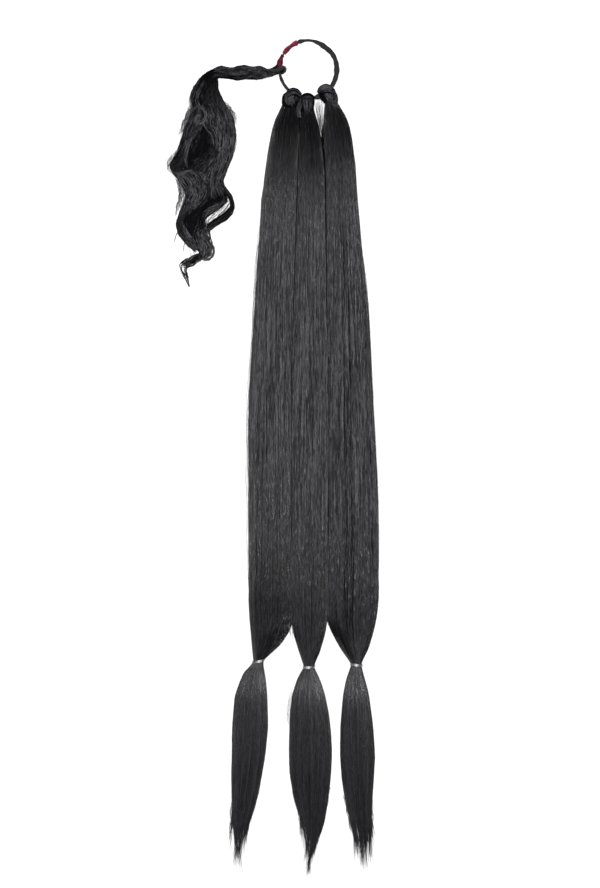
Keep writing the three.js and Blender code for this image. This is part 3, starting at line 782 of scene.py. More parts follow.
def hankCore(name, rows, material, tieY):
    # painted shade: dark inside of a hank, in the shade material, which runs out to a point in its tail
    loops = []
    stop = rows[-1, 0]
    angle = np.linspace(0, 2 * math.pi, hankShape["coreSides"], endpoint=False)
    flat, height = domeShape(angle)
    for y, left, right, under, top in rows:
        half = (right - left) / 2
        shrink = min(hankShape["coreInset"], half * hankShape["mostInset"])
        gone = max(0, (tieY - y) / (tieY - stop)) ** hankShape["coreRound"]
        narrow = math.sqrt(max(hankShape["leastCore"], 1 - gone))
        bottom = np.maximum(under, lowest["hankCore"])
        x = (left + right) / 2 + (half - shrink) * flat * narrow
        z = bottom + (top - bottom - shrink) * height * narrow
        loops.append(np.stack([x, np.full_like(x, y), z], axis=-1))
    return loftPiece(name, [loops], material)


def addHank(side, rng):
    shape = hankShape
    rows = sectionsOf("hank_" + side, 1)
    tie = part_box("tie_" + side)
    tieY = (tie[0][1] + tie[1][1]) / 2 / mm
    bodyRows = smoothRows(rows[rows[:, 0] > tieY - shape["overlap"]], shape["rounding"])
    tailRows = smoothRows(rows[rows[:, 0] < tieY + shape["overlap"]])
    along = bodyRows[0, 0] - bodyRows[:, 0]
    bodyRows[:, 4] -= neckDip[side] * (1 - ease(along, *shape["dip"]))
    middle = ease(along, *shape["insetFrom"]) * ease(along[-1] - along, *shape["insetTo"])
    inner = bodyRows.copy()
    inner[:, 1] += bodyInset[side][0] * middle
    inner[:, 2] -= bodyInset[side][1] * middle

    def drawHair(part, groups, look):
        return drawStrands(f"hank_{side}_{part}", groups, hair, look["strandWidth"], frizz=look["frizz"],
                           frizzLength=look["frizzLength"], seed=rng.uniform(0, 99))

    pieces = [drawHair("strands", [
        hankStrands(inner, hankLook, rng, neckGrow[side], tieGrow[side], neckFade[side], bodySpan[side],
                    combedEnds[side])], hankLook)]
    pieces += edgePieces(side, bodyRows, rng)
    pieces.append(drawHair("tail", [
        hankStrands(tailRows, tailLook, rng, tailLook["grow"], tailFray[side], tips=tailTips[side]),
        *(sheetStrands(guides, count, rng, **wispHair) for guides, count in tailWisps[side])], tailLook))
    stop = tailRows[0, 0] + (tailRows[-1, 0] - tailRows[0, 0]) * shape["coreEnd"]
    deep = np.vstack([inner[::shape["coreEvery"]], tailRows[::shape["coreEvery"]]])
    pieces.append(hankCore(f"hank_{side}_core", deep[deep[:, 0] > stop], shade, tieY))
    for piece in pieces:
        keep(piece, "hank_" + side)
    print("hank", side, "built,", sum(len(piece.data.polygons) for piece in pieces), "faces")


# Bundles: strands and dark cores along lanes, the cores painted shade, and strands spread over sheets between
# guide curves

def lane(points, heights, wide, deep):
    # points are photo columns and rows; heights, half widths and half depths spread evenly over them
    points = np.array(points, dtype=float)
    at = np.linspace(0, 1, len(points))
    rows = [points[:, 0], points[:, 1]]
    for values in (heights, wide, deep):
        values = np.atleast_1d(np.array(values, dtype=float))
        rows.append(np.interp(at, np.linspace(0, 1, len(values)), values) if len(values) > 1
                    else np.full(len(points), values[0]))
    return fromPhoto(np.stack(rows, axis=1))


def evenPath(rows, count=64):
    # smooth curve through rows, at even steps along its length, with its length
    ends = np.vstack([2 * rows[0] - rows[1], rows, 2 * rows[-1] - rows[-2]])
    fine = []
    for i in range(len(rows) - 1):
        a, b, c, d = ends[i:i + 4]
        t = np.linspace(0, 1, 16, endpoint=False)[:, None]
        fine.append(b + 0.5 * t * (c - a + t * (2 * a - 5 * b + 4 * c - d + t * (3 * (b - c) + d - a))))
    fine = np.vstack(fine + [rows[-1:]])
    travel = np.concatenate([[0], np.cumsum(np.linalg.norm(np.diff(fine[:, :3], axis=0), axis=1))])
    at = np.linspace(0, travel[-1], count)
    path = np.stack([np.interp(at, travel, fine[:, k]) for k in range(rows.shape[1])], axis=1)
    way = np.gradient(path[:, :3], axis=0)
    way /= np.linalg.norm(way, axis=1, keepdims=True)
    side = np.stack([way[:, 1], -way[:, 0], np.zeros(count)], axis=1)
    side /= np.maximum(np.linalg.norm(side, axis=1, keepdims=True), 1e-6)
    return np.hstack([path, side, np.cross(side, way)]), travel[-1]


def alongPath(path, share):
    at = np.clip(share, 0, 1) * (len(path) - 1)
    low = np.minimum(at.astype(int), len(path) - 2)
    part = (at - low)[..., None]
    return path[low] * (1 - part) + path[low + 1] * part


def mixedTone(rng, tone, clump, clumps):
    # each strand's lightness, half its clump's and half its own
    share = 0.5 * rng.uniform(0, 1, clumps)[clump] + 0.5 * rng.uniform(0, 1, len(clump))
    return tone[0] + (tone[1] - tone[0]) * share


tipWidths = (0.9, 0.65, 0.3)


def tipTaper(steps, pointed):
    taper = np.ones(steps)
    if pointed:
        taper[-len(tipWidths):] = tipWidths
    return taper


clumpApart = 29  # how far apart the streaks of two clumps are read
# in a bundle: how far a clump spreads round it, its second wave, and how much its strands rise on the first
bundleRun = {"clumpSpread": 1.9, "secondWave": 2.3, "rise": 0.7, "hollow": 0.3, "pointedRagged": 4,
             "raggedPower": 1.5}


def bundleStrands(rows, strands, rng, steps=18, clumps=6, wave=0.25, waveLength=18.0, ragged=0.05,
                  tone=(0.0, 1.0), pointed=False, thin=1.0, lit=1.0):
    # strands in clumps round a lane
    run = bundleRun
    path, length = evenPath(rows)
    start = ragged * rng.uniform(0, 1, strands)
    most = ragged * run["pointedRagged"] if pointed else ragged
    stop = 1 - most * rng.uniform(0, 1, strands) ** run["raggedPower"]
    share = start[:, None] + (stop - start)[:, None] * np.linspace(0, 1, steps)
    clump = rng.integers(0, clumps, strands)
    turn = rng.uniform(0, 2 * math.pi, clumps)[clump] + rng.normal(0, run["clumpSpread"] / clumps, strands)
    far = np.sqrt(rng.uniform(run["hollow"], 1, strands))[:, None]
    turn = turn[:, None]
    at = alongPath(path, share)
    along = share * length
    aside = far * np.cos(turn) * at[..., 3]
    aside = aside + waver(rng, strands, along, (waveLength, waveLength / run["secondWave"]), wave)
    rise = far * np.sin(turn) * at[..., 4] + waver(rng, strands, along, (waveLength,), wave * run["rise"])
    points = at[..., :3] + aside[..., None] * at[..., 5:8] + rise[..., None] * at[..., 8:11]
    points[..., 2] = np.maximum(points[..., 2], lowest["strand"])
    return {
        "points": points, "taper": np.broadcast_to(thin * tipTaper(steps, pointed), share.shape),
        "along": along + clumpApart * clump[:, None], "across": turn * (at[..., 3] + at[..., 4]) / 2,
        "tone": mixedTone(rng, tone, clump, clumps), "loose": np.full_like(share, lit),
    }


def sheet(*guides):
    # curves side by side, each a list of photo column, row and height, at even steps along their length
    return np.stack([evenPath(fromPhoto(guide))[0][:, :3] for guide in guides])


# in a sheet: where clumps may lie and how far they spread and sway, the lengths of their waves in wave
# lengths, and how much of a strand's wave is its own and how much its clump's
sheetRun = {
    "points": 24, "clumpShift": (0.1, 0.9), "clumpSpread": 0.5, "sway": 0.7, "swayLengths": (2.5, 1),
    "sinkLength": 1.6, "sinkShare": 0.25, "depthPower": 2, "secondWave": 2.2, "own": 0.5, "shared": 0.8,
    "rise": 0.6, "patchLengths": (1.4, 0.6), "rimPower": 0.9, "pointedRagged": 3, "shortLeast": 0.5,
}


def sheetStrands(guides, strands, rng, steps=22, clumps=14, depth=2.0, wave=0.5, waveLength=22.0,
                 ragged=0.06, tone=(0.0, 1.0), drift=0.0, thin=1.0, pointed=False, lit=1.0, rim=0.0,
                 cross=0.0, patchy=0.0, tight=1.0, sunk=0.0, bunch=0.0, begin=0.0, short=0.0, speckle=0.0):
    # strands in clumps between guide curves, laid over one another to a depth below them;
    # lit is how matted and how light they are along the run, from combed and dark to loose and light, which
    # paints light and shade along the run, rim how much smoother and darker at both sides, as painted shade,
    # patchy how much it changes from clump to clump, drift how far they run across the sheet, cross how far
    # strands wander over the others, tight how wide the clumps are, sunk how deep they lie, bunch how far
    # they keep to the middle or, below zero, to the sides, begin the share of the run before them, short the
    # share that one strand covers, and speckle how much they differ from one to the next
    run = sheetRun
    length = np.linalg.norm(np.diff(guides.mean(axis=0), axis=0), axis=1).sum()
    width = np.linalg.norm(guides[-1] - guides[0], axis=1).mean()
    start = begin + (ragged + begin) * rng.uniform(0, 1, strands)
    stop = 1 - (ragged * run["pointedRagged"] if pointed else ragged) * rng.uniform(0, 1, strands)
    if short:
        start = rng.uniform(0, 1 - short, strands)
        stop = start + short * rng.uniform(run["shortLeast"], 1, strands)
    share = start[:, None] + (stop - start)[:, None] * np.linspace(0, 1, steps)
    along = share * length
    clump = rng.integers(0, clumps, strands)
    owner = clump[:, None]
    middle = (np.arange(clumps) + rng.uniform(*run["clumpShift"], clumps)) / clumps
    clumpAt = np.tile(np.linspace(0, length, run["points"]), (clumps, 1))
    sway = waver(rng, clumps, clumpAt, [waveLength * part for part in run["swayLengths"]],
                 run["sway"] / clumps)
    sink = waver(rng, clumps, clumpAt, (waveLength * run["sinkLength"],), depth * run["sinkShare"])
    apart = rng.normal(0, run["clumpSpread"] * tight / clumps, (strands, 1))
    place = middle[owner] + apart + tableAt(sway, owner, share)
    wander = tight * rng.uniform(-1, 1, (strands, 1)) + (1 - tight) * rng.uniform(-1, 1, clumps)[owner]
    wander = drift + cross * wander
    place = 2 * turnedBack(place + wander * (share - 0.5)) - 1
    place = 0.5 + 0.5 * np.sign(place) * np.abs(place) ** (1 + bunch)
    at = place * (len(guides) - 1)
    low = np.minimum(at.astype(int), len(guides) - 2)
    step = np.clip(share, 0, 1) * (guides.shape[1] - 1)
    near = np.minimum(step.astype(int), guides.shape[1] - 2)
    part, way = (at - low)[..., None], (step - near)[..., None]
    points = ((guides[low, near] * (1 - way) + guides[low, near + 1] * way) * (1 - part)
              + (guides[low + 1, near] * (1 - way) + guides[low + 1, near + 1] * way) * part)
    laid = depth * rng.uniform(0, 1, (strands, 1)) ** run["depthPower"]
    points[..., 2] -= laid + np.abs(tableAt(sink, owner, share))
    points[..., 2] -= sunk
    waves = (waveLength, waveLength / run["secondWave"])
    for axis, size in ((0, 1.0), (1, 1.0), (2, run["rise"])):
        own = waver(rng, strands, along, waves, wave * size)
        shared = waver(rng, clumps, clumpAt, waves, wave * size)
        points[..., axis] += run["own"] * own + run["shared"] * tableAt(shared, owner, share)
    points[..., 2] = np.maximum(points[..., 2], lowest["strand"])
    lit = np.atleast_1d(np.array(lit, dtype=float))
    loose = np.interp(share, np.linspace(0, 1, len(lit)), lit)
    loose *= 1 - rim * np.abs(2 * place - 1) ** run["rimPower"]
    patch = waver(rng, clumps, clumpAt, [waveLength * part for part in run["patchLengths"]], 1.0)
    loose *= 1 - patchy * np.clip(0.5 + tableAt(patch, owner, share), 0, 1)
    if speckle:
        loose *= 1 + speckle * rng.uniform(-1, 1, (strands, 1))
    return {
        "points": points, "taper": np.broadcast_to(thin * tipTaper(steps, pointed), share.shape),
        "along": along + clumpApart * owner, "across": place * width,
        "tone": mixedTone(rng, tone, clump, clumps), "loose": loose,
    }


coreEnds = {"power": 8, "least": 0.02}


def laneCore(rows, sides=12, count=18):
    # loops of a closed core that fills a lane, rounded off at its ends
    path, _ = evenPath(rows, count)
    ends = 1 - (2 * np.linspace(0, 1, count) - 1) ** coreEnds["power"]
    ends = np.sqrt(np.clip(ends, coreEnds["least"], 1))
    turn = np.linspace(0, 2 * math.pi, sides, endpoint=False)
    loops = []
    for at, end in zip(path, ends):
        aside = np.cos(turn)[:, None] * at[3] * end
        rise = np.sin(turn)[:, None] * at[4] * end
        loop = at[:3] + aside * at[5:8] + rise * at[8:11]
        loop[:, 2] = np.maximum(loop[:, 2], lowest["laneCore"])
        loops.append(loop)
    return loops


# of a sheet, the hair that lies under its lit share, drawn as painted shade, and how tight the clumps of that
# share are
underHair = {"sunk": 0.9, "tight": 1.0, "bunch": 0.0, "begin": 0.0}
topTight = 0.45
bundleFrizzLength = 12


def addBundles(node, parts, cores, rng, strandWidth, finish, frizz=0.5, label=None):
    # the strands of a node, in one piece for each name of its parts, with those in their shade and dark
    # cores, both drawn in the shade material as painted shade; where a share is on top, only that share is
    # lit, in a sheet in tighter clumps
    pieces, under, label = [], [], label or node

    def drawHair(name, groups, material):
        pieces.append(drawStrands(f"{label}_{name}", groups, material, strandWidth, frizz=frizz,
                                  frizzLength=bundleFrizzLength, seed=rng.uniform(0, 99)))

    for name, groups in parts.items():
        drawn = []
        for guides, strands, manner in groups:
            isSheet = guides.ndim == 3
            spread = sheetStrands if isSheet else bundleStrands
            manner = dict(manner)
            lit = int(strands * manner.pop("top", 1.0))
            if lit < strands:
                below = {**manner, **underHair} if isSheet else manner
                under.append(spread(guides, strands - lit, rng, **below))
                if isSheet:
                    manner.setdefault("tight", topTight)
            if lit:
                drawn.append(spread(guides, lit, rng, **manner))
        drawHair(name, drawn, finish)
    if under:
        drawHair("shaded", under, shade)
    if cores:
        pieces.append(loftPiece(label + "_core", [laneCore(rows) for rows in cores], shade))
    for piece in pieces:
        keep(piece, node)
    print(label, "built,", sum(len(piece.data.polygons) for piece in pieces), "faces")


# Knots: the hair goes up over the elastic and comes down in front of it, on to its own hank

# lit paints light on the front of each knot and shade at both ends of its run; rim and bunch keep the light
# off its sides, which show painted shade
knotLook = {"wave": 0.2, "waveLength": 10, "depth": 1.0, "steps": 18, "lit": (0, 0, 0.4, 2, 2.6, 1.8, 0),
            "rim": 0.8, "bunch": 1.5, "top": 0.5, "tight": 0.7, "patchy": 0.3}
# painted shade: the loop's upper side over the elastic and its creases, all its strands in the shade material
knotShadedCap = {"wave": 0.15, "top": 0.0}  # dark upper side of the loop over the elastic, and creases
# painted light: the front of the loop, lighter in colour
knotBand = {"wave": 0.15, "tone": (0.3, 1), "lit": 1.4, "top": 0.8}  # lit front of the loop
knotParts = {
    "left": [
        (sheet([(286, 98, 2), (283.8, 94, 5), (283, 98, 8), (282.8, 103, 8), (283.5, 107.5, 6),
                (284, 110, 4)],
               [(290, 96, 3), (288, 90.5, 8), (287, 95, 11.5), (286.5, 101, 11.5), (287.5, 106.5, 9),
                (288, 109.5, 6)],
               [(294, 94, 3), (293, 88.6, 8.5), (292.5, 93, 12.5), (291.5, 100, 12.5), (292, 106.5, 9.5),
                (292, 109.5, 6.5)],
               [(298, 95, 3), (298.5, 90.8, 8), (298, 95, 11), (296.5, 101, 11), (296, 107, 8.5),
                (296, 110, 6)],
               [(300, 97, 2), (301.3, 94.5, 5), (301, 98, 8), (299.5, 103, 8), (298.5, 108, 6),
                (298.5, 111, 4)]),
         300, {**knotLook, "clumps": 10}),
        (lane([(301.2, 93.8), (296, 89.6), (289.6, 90.2), (284, 97)], (7, 10.4, 10.4, 7), 0.8, 0.9), 50,
         knotShadedCap),
        (lane([(301, 95.6), (296.4, 92), (290.6, 92), (286, 95.8)], (8.4, 12.2, 12.2, 9), (1.2, 1.8, 1.4),
              1.1), 80, knotBand),
        (lane([(301, 98.2), (296, 95.8), (290.6, 96), (286, 99)], (8.8, 12.8, 12.8, 9.6), 0.7, 0.6), 34,
         knotShadedCap),
    ],
    "middle": [
        (sheet([(301.5, 100, 2), (300.2, 97, 5), (300.2, 101, 8), (301, 106, 8), (301.8, 112, 6.5),
                (302, 115.5, 4)],
               [(304.5, 98, 3), (303.8, 94.2, 8), (304, 98.5, 11), (304.5, 105, 11.5), (305, 111.5, 9.5),
                (305, 115, 6)],
               [(309, 98, 3), (309, 94, 8), (309, 98, 11.5), (309, 105, 12), (308.5, 112, 10),
                (308.5, 115.5, 6)],
               [(313, 99.5, 2), (314.3, 96.5, 6), (314, 100, 9), (313, 105.5, 9.5), (312.3, 112, 7.5),
                (312, 115.5, 5)]),
         250, {**knotLook, "clumps": 8}),
        (lane([(301, 97), (305, 94.8), (310, 94.8), (314.5, 98)], (7, 10.5, 10.5, 7), 1.2, 1.2), 60,
         knotShadedCap),
        (lane([(300.5, 99.6), (305, 98.4), (309.5, 98.6), (313.4, 101)], (8, 11.6, 11.8, 9), (0.9, 1.4, 1),
              1.0),
         50, {**knotBand, "lit": 0.9}),
        (lane([(302.5, 98.5), (300.5, 104), (298.5, 110), (299.5, 117.5)], (8, 10.5, 9, 7.5), (1.6, 2, 1.4),
              (1.4, 1)),
         70, {"tone": (0.4, 1)}),
        (lane([(302.2, 100), (302.4, 106), (303, 112)], (10.2, 11.2, 9.4), 0.6, 0.5), 24, knotShadedCap),
        (lane([(313, 101), (312.6, 106), (311.8, 112)], (9.4, 9.8, 8.2), 0.7, 0.5), 24, knotShadedCap),
    ],
    "right": [
        (sheet([(318.5, 93, 3), (316.8, 90.5, 6), (319, 93.5, 8), (322.5, 98, 8), (325.5, 103, 6.5),
                (326.5, 106, 4)],
               [(323, 92, 3), (321.5, 87, 8), (323.5, 91, 11.5), (326, 97, 11.5), (328, 102, 9),
                (328.5, 105, 6)],
               [(328, 91, 3), (328, 85.8, 8.5), (328.8, 90.5, 12), (330, 96.5, 12), (330.5, 102, 9.5),
                (331, 105, 6)],
               [(333, 95, 3), (334.6, 90.5, 7), (336.4, 95, 9), (337.4, 100, 8.5), (337.6, 104, 6.5),
                (337.4, 107, 4)]),
         280, {**knotLook, "clumps": 9, "top": 0.65}),
        (lane([(317.6, 91), (320.5, 87.4), (326, 85.8), (332, 87.4)], (5, 9, 10, 8), 0.6, 0.9), 36,
         knotShadedCap),
        (lane([(318.6, 90.6), (322, 88.4), (326.6, 87.5), (331.8, 89.2)], (7.8, 12.2, 13.2, 11),
              (1.4, 2.6, 2), 1.0),
         150, {**knotBand, "lit": 2.2, "clumps": 14, "top": 1.0}),
        (lane([(319.2, 94.4), (323.4, 93.8), (327.4, 93), (332.4, 94)], (8.4, 12.2, 12.8, 11), 0.6, 0.6),
         30, knotShadedCap),
        (lane([(332.5, 90), (335.4, 94), (336.6, 99), (336.4, 104)], (8, 9.4, 9, 7), (1, 1.5, 1), 1.0),
         40, {**knotBand, "lit": 0.7}),
    ],
}
# dark cores in the shade material: painted shade at the sides of each knot and under its loop
knotCores = {
    "left": [lane([(292.5, 91), (292, 96), (291, 102), (290.5, 108)], (6, 6.6, 6.6, 5),
                  (5.4, 7.8, 7.8, 6.6), (3, 4.4, 4.4, 3.4)),
             lane([(300.5, 93.8), (295, 91), (289, 92.9), (284.8, 98.5)], (6, 8.4, 8.4, 6), 1.4, 1.8)],
    "middle": [lane([(307.5, 96), (307.5, 101), (307, 107), (306.8, 113)], (5.6, 6.2, 6.4, 5),
                    (5, 6, 5.6, 4.8), (3, 4.2, 4.2, 3.4)),
               lane([(301, 97.4), (305, 95.2), (310, 95.2), (314.2, 98)], (6, 8, 8, 6), 1.5, 1.6)],
    "right": [lane([(325, 88.5), (327, 93), (329.5, 98), (331, 104)], (6, 6.6, 6.4, 5), (6, 7.4, 6.4, 4.8),
                   (3.2, 4.4, 4.2, 3.2)),
              lane([(318.8, 91.4), (322, 88.4), (327, 87.4), (331.5, 89)], (5, 7.6, 9, 7),
                   (1.3, 2.1, 2.2, 1.6), (2, 2.4, 2.4))],
}

# Wrap strand: its loop on the elastic, the twisted bound end, and the loose wavy lock

ropeUnder = {"steps": 30, "clumps": 12, "wave": 0.5, "drift": 0.5, "depth": 2.5, "ragged": 0.03, "lit": 0.3,
             "top": 0.08}
ropeOver = {"steps": 30, "clumps": 11, "wave": 0.6, "drift": -0.45, "depth": 0.8, "tone": (0.1, 0.8),
            "ragged": 0.12, "lit": 0.9, "patchy": 0.6, "cross": 0.3, "waveLength": 14, "rim": 0.3,
            "top": 0.36}
ropeGuides = sheet(
    [(281, 66.3, 4), (275, 66.6, 4), (267.4, 68.2, 4.5), (260.3, 65.4, 5), (252, 66.2, 5), (246.7, 64.7, 5),
     (239, 65.2, 5), (230.8, 67.2, 5), (221.3, 65.2, 5), (214, 67.6, 5)],
    [(281, 68, 6), (272, 69.8, 6.5), (264, 69, 8), (256, 68, 8.5), (248, 67.5, 8.5), (240, 68, 8.5),
     (232, 69, 8.5), (222, 68, 8), (213, 70.5, 7.5)],
    [(281, 70, 6), (272, 72.2, 6.5), (264, 73, 8), (256, 73.2, 8.6), (248, 73, 8.6), (240, 73, 8.6),
     (231, 72.8, 8.6), (221, 72, 8), (212, 74, 7.5)],
    [(280, 72.6, 3.5), (276.8, 73.6, 3.5), (266.2, 76.6, 4), (256.7, 78.6, 4), (247.3, 78.1, 4),
     (240.2, 79.3, 4), (233, 78.4, 4), (226, 77.5, 4), (217.8, 77.2, 4), (212, 78.5, 4)])
curly = {"steps": 28, "wave": 0.8, "waveLength": 12, "cross": 0.4, "patchy": 0.8, "clumps": 15, "top": 0.45,
         "tight": 0.4}
curlStrays = {"thin": 0.5, "depth": 1.5, "wave": 1.0, "waveLength": 9, "steps": 14, "short": 0.5,
              "cross": 1.0, "pointed": True}
# short crimped hair on top, light and dark side by side
crimp = {"thin": 1.9, "depth": 0.5, "wave": 0.35, "waveLength": 6, "steps": 7, "short": 0.25, "cross": 0.8,
         "clumps": 30, "pointed": True, "speckle": 0.95}
hollowHair = {"thin": 0.8, "depth": 1.5, "wave": 1.0, "waveLength": 12, "steps": 18, "ragged": 0.3,
              "lit": 0.15, "cross": 0.6, "patchy": 0.6, "top": 0.12}
lockUpper = [
    # over the bend and down the left side; its lit share starts past the bend, which is left in painted shade
    (sheet([(224, 66.5, 6), (211, 69, 6), (200.5, 77, 5.5), (193.5, 86.5, 5), (190, 97, 4.5),
            (191.5, 106, 4.5), (189.5, 115, 4), (184.5, 127, 4), (180, 140, 4), (176.5, 151, 4),
            (171, 160, 4), (168.5, 166, 4)],
           [(224, 69, 8), (213, 71.5, 8.5), (204.5, 79, 8), (198, 88, 7.5), (194.5, 98, 7), (196, 107, 8),
            (196, 116, 8), (191, 128, 7.5), (186.5, 140, 7), (182.5, 151, 6.5), (177, 160, 6),
            (173, 167, 5.5)],
           [(222, 71.5, 8.5), (213, 74, 8), (206, 81, 7), (200.5, 90, 6.5), (198, 99, 7), (201, 108, 9.5),
            (203.5, 117, 9.5), (198.5, 128, 8.5), (192, 139, 7.5), (188, 150, 7), (186, 160, 6.5),
            (184, 169, 6)]),
     340, {**curly, "top": 0.24, "begin": 0.18, "lit": (0.3, 0.8, 0.8, 0.6, 0.4, 0.1)}),
    # curl on it, and the light lock that comes out of the curl
    (lane([(193.5, 111), (197, 107.5), (202, 108), (205.5, 112.5), (205, 119), (201, 123.5), (196.5, 122.5),
           (195, 118), (198, 114.5), (201, 117)], (9, 10.5, 11, 11, 11, 10.5, 10, 9.5, 9, 9), 1.0, 0.9),
     44, {"tone": (0.3, 1), "ragged": 0.2, "steps": 34, "wave": 0.5, "waveLength": 9, "lit": 0.9}),
    (lane([(205, 116), (202.5, 123), (197.5, 131), (190.5, 141), (187, 150), (185.6, 159), (187.8, 168)],
          (10.5, 10, 9.5, 9, 8.5, 8, 7.5), (0.7, 1.3, 1.1, 0.7), 0.9),
     24, {"tone": (0.3, 0.8), "ragged": 0.25, "steps": 26, "wave": 0.8, "waveLength": 11, "lit": 0.8}),
    # broad matt front
    (sheet([(212, 80, 4), (206.5, 92, 5.5), (203.5, 104, 7.5), (203.5, 116, 9), (204, 127, 8.5),
            (212, 138, 8), (213, 152, 7.5), (207, 164, 7.5), (201, 175, 8), (199, 187, 7.5),
            (201, 198, 6.5)],
           [(214, 79, 4.5), (212, 92, 7), (213, 105, 9.5), (218, 117, 11), (220.5, 130, 11.5),
            (221, 143, 11), (219.5, 156, 10), (216, 168, 9), (212, 178, 8.5), (211, 188, 7),
            (213, 199, 5.5)],
           [(216, 78, 5), (217, 92, 7.5), (221.5, 104, 9.5), (227, 115, 10.5), (229, 130, 10.5),
            (228.5, 145, 10), (226, 158, 9), (222, 170, 8), (218.5, 180, 7.5), (220, 189, 7),
            (224, 198, 6.5)],
           [(217.5, 77.5, 5), (218.5, 90, 5.5), (225.5, 104, 6), (233, 117, 6), (235.5, 131, 5.5),
            (234.5, 146, 5), (231, 160, 5), (226.5, 171, 5), (223, 179.5, 5), (225, 187, 5),
            (231.5, 196, 5)]),
     600, {**curly, "clumps": 26, "depth": 2.6, "ragged": 0.1, "wave": 0.9, "top": 0.5,
           "lit": (0, 0.05, 0.4, 0.9, 1.2, 1.2, 1.1, 1, 0.9, 0.7)}),
    # matted hair under the hollow, darkest where it starts: painted shade
    (sheet([(208, 150, 6), (201, 158, 6.5), (195, 166, 7), (190, 173, 7)],
           [(214, 154, 8), (209, 162, 8), (203, 170, 8.5), (197, 177, 8.5)]),
     90, {**curly, "steps": 16, "ragged": 0.2, "lit": (0, 0.2, 0.4, 0.5)}),
]
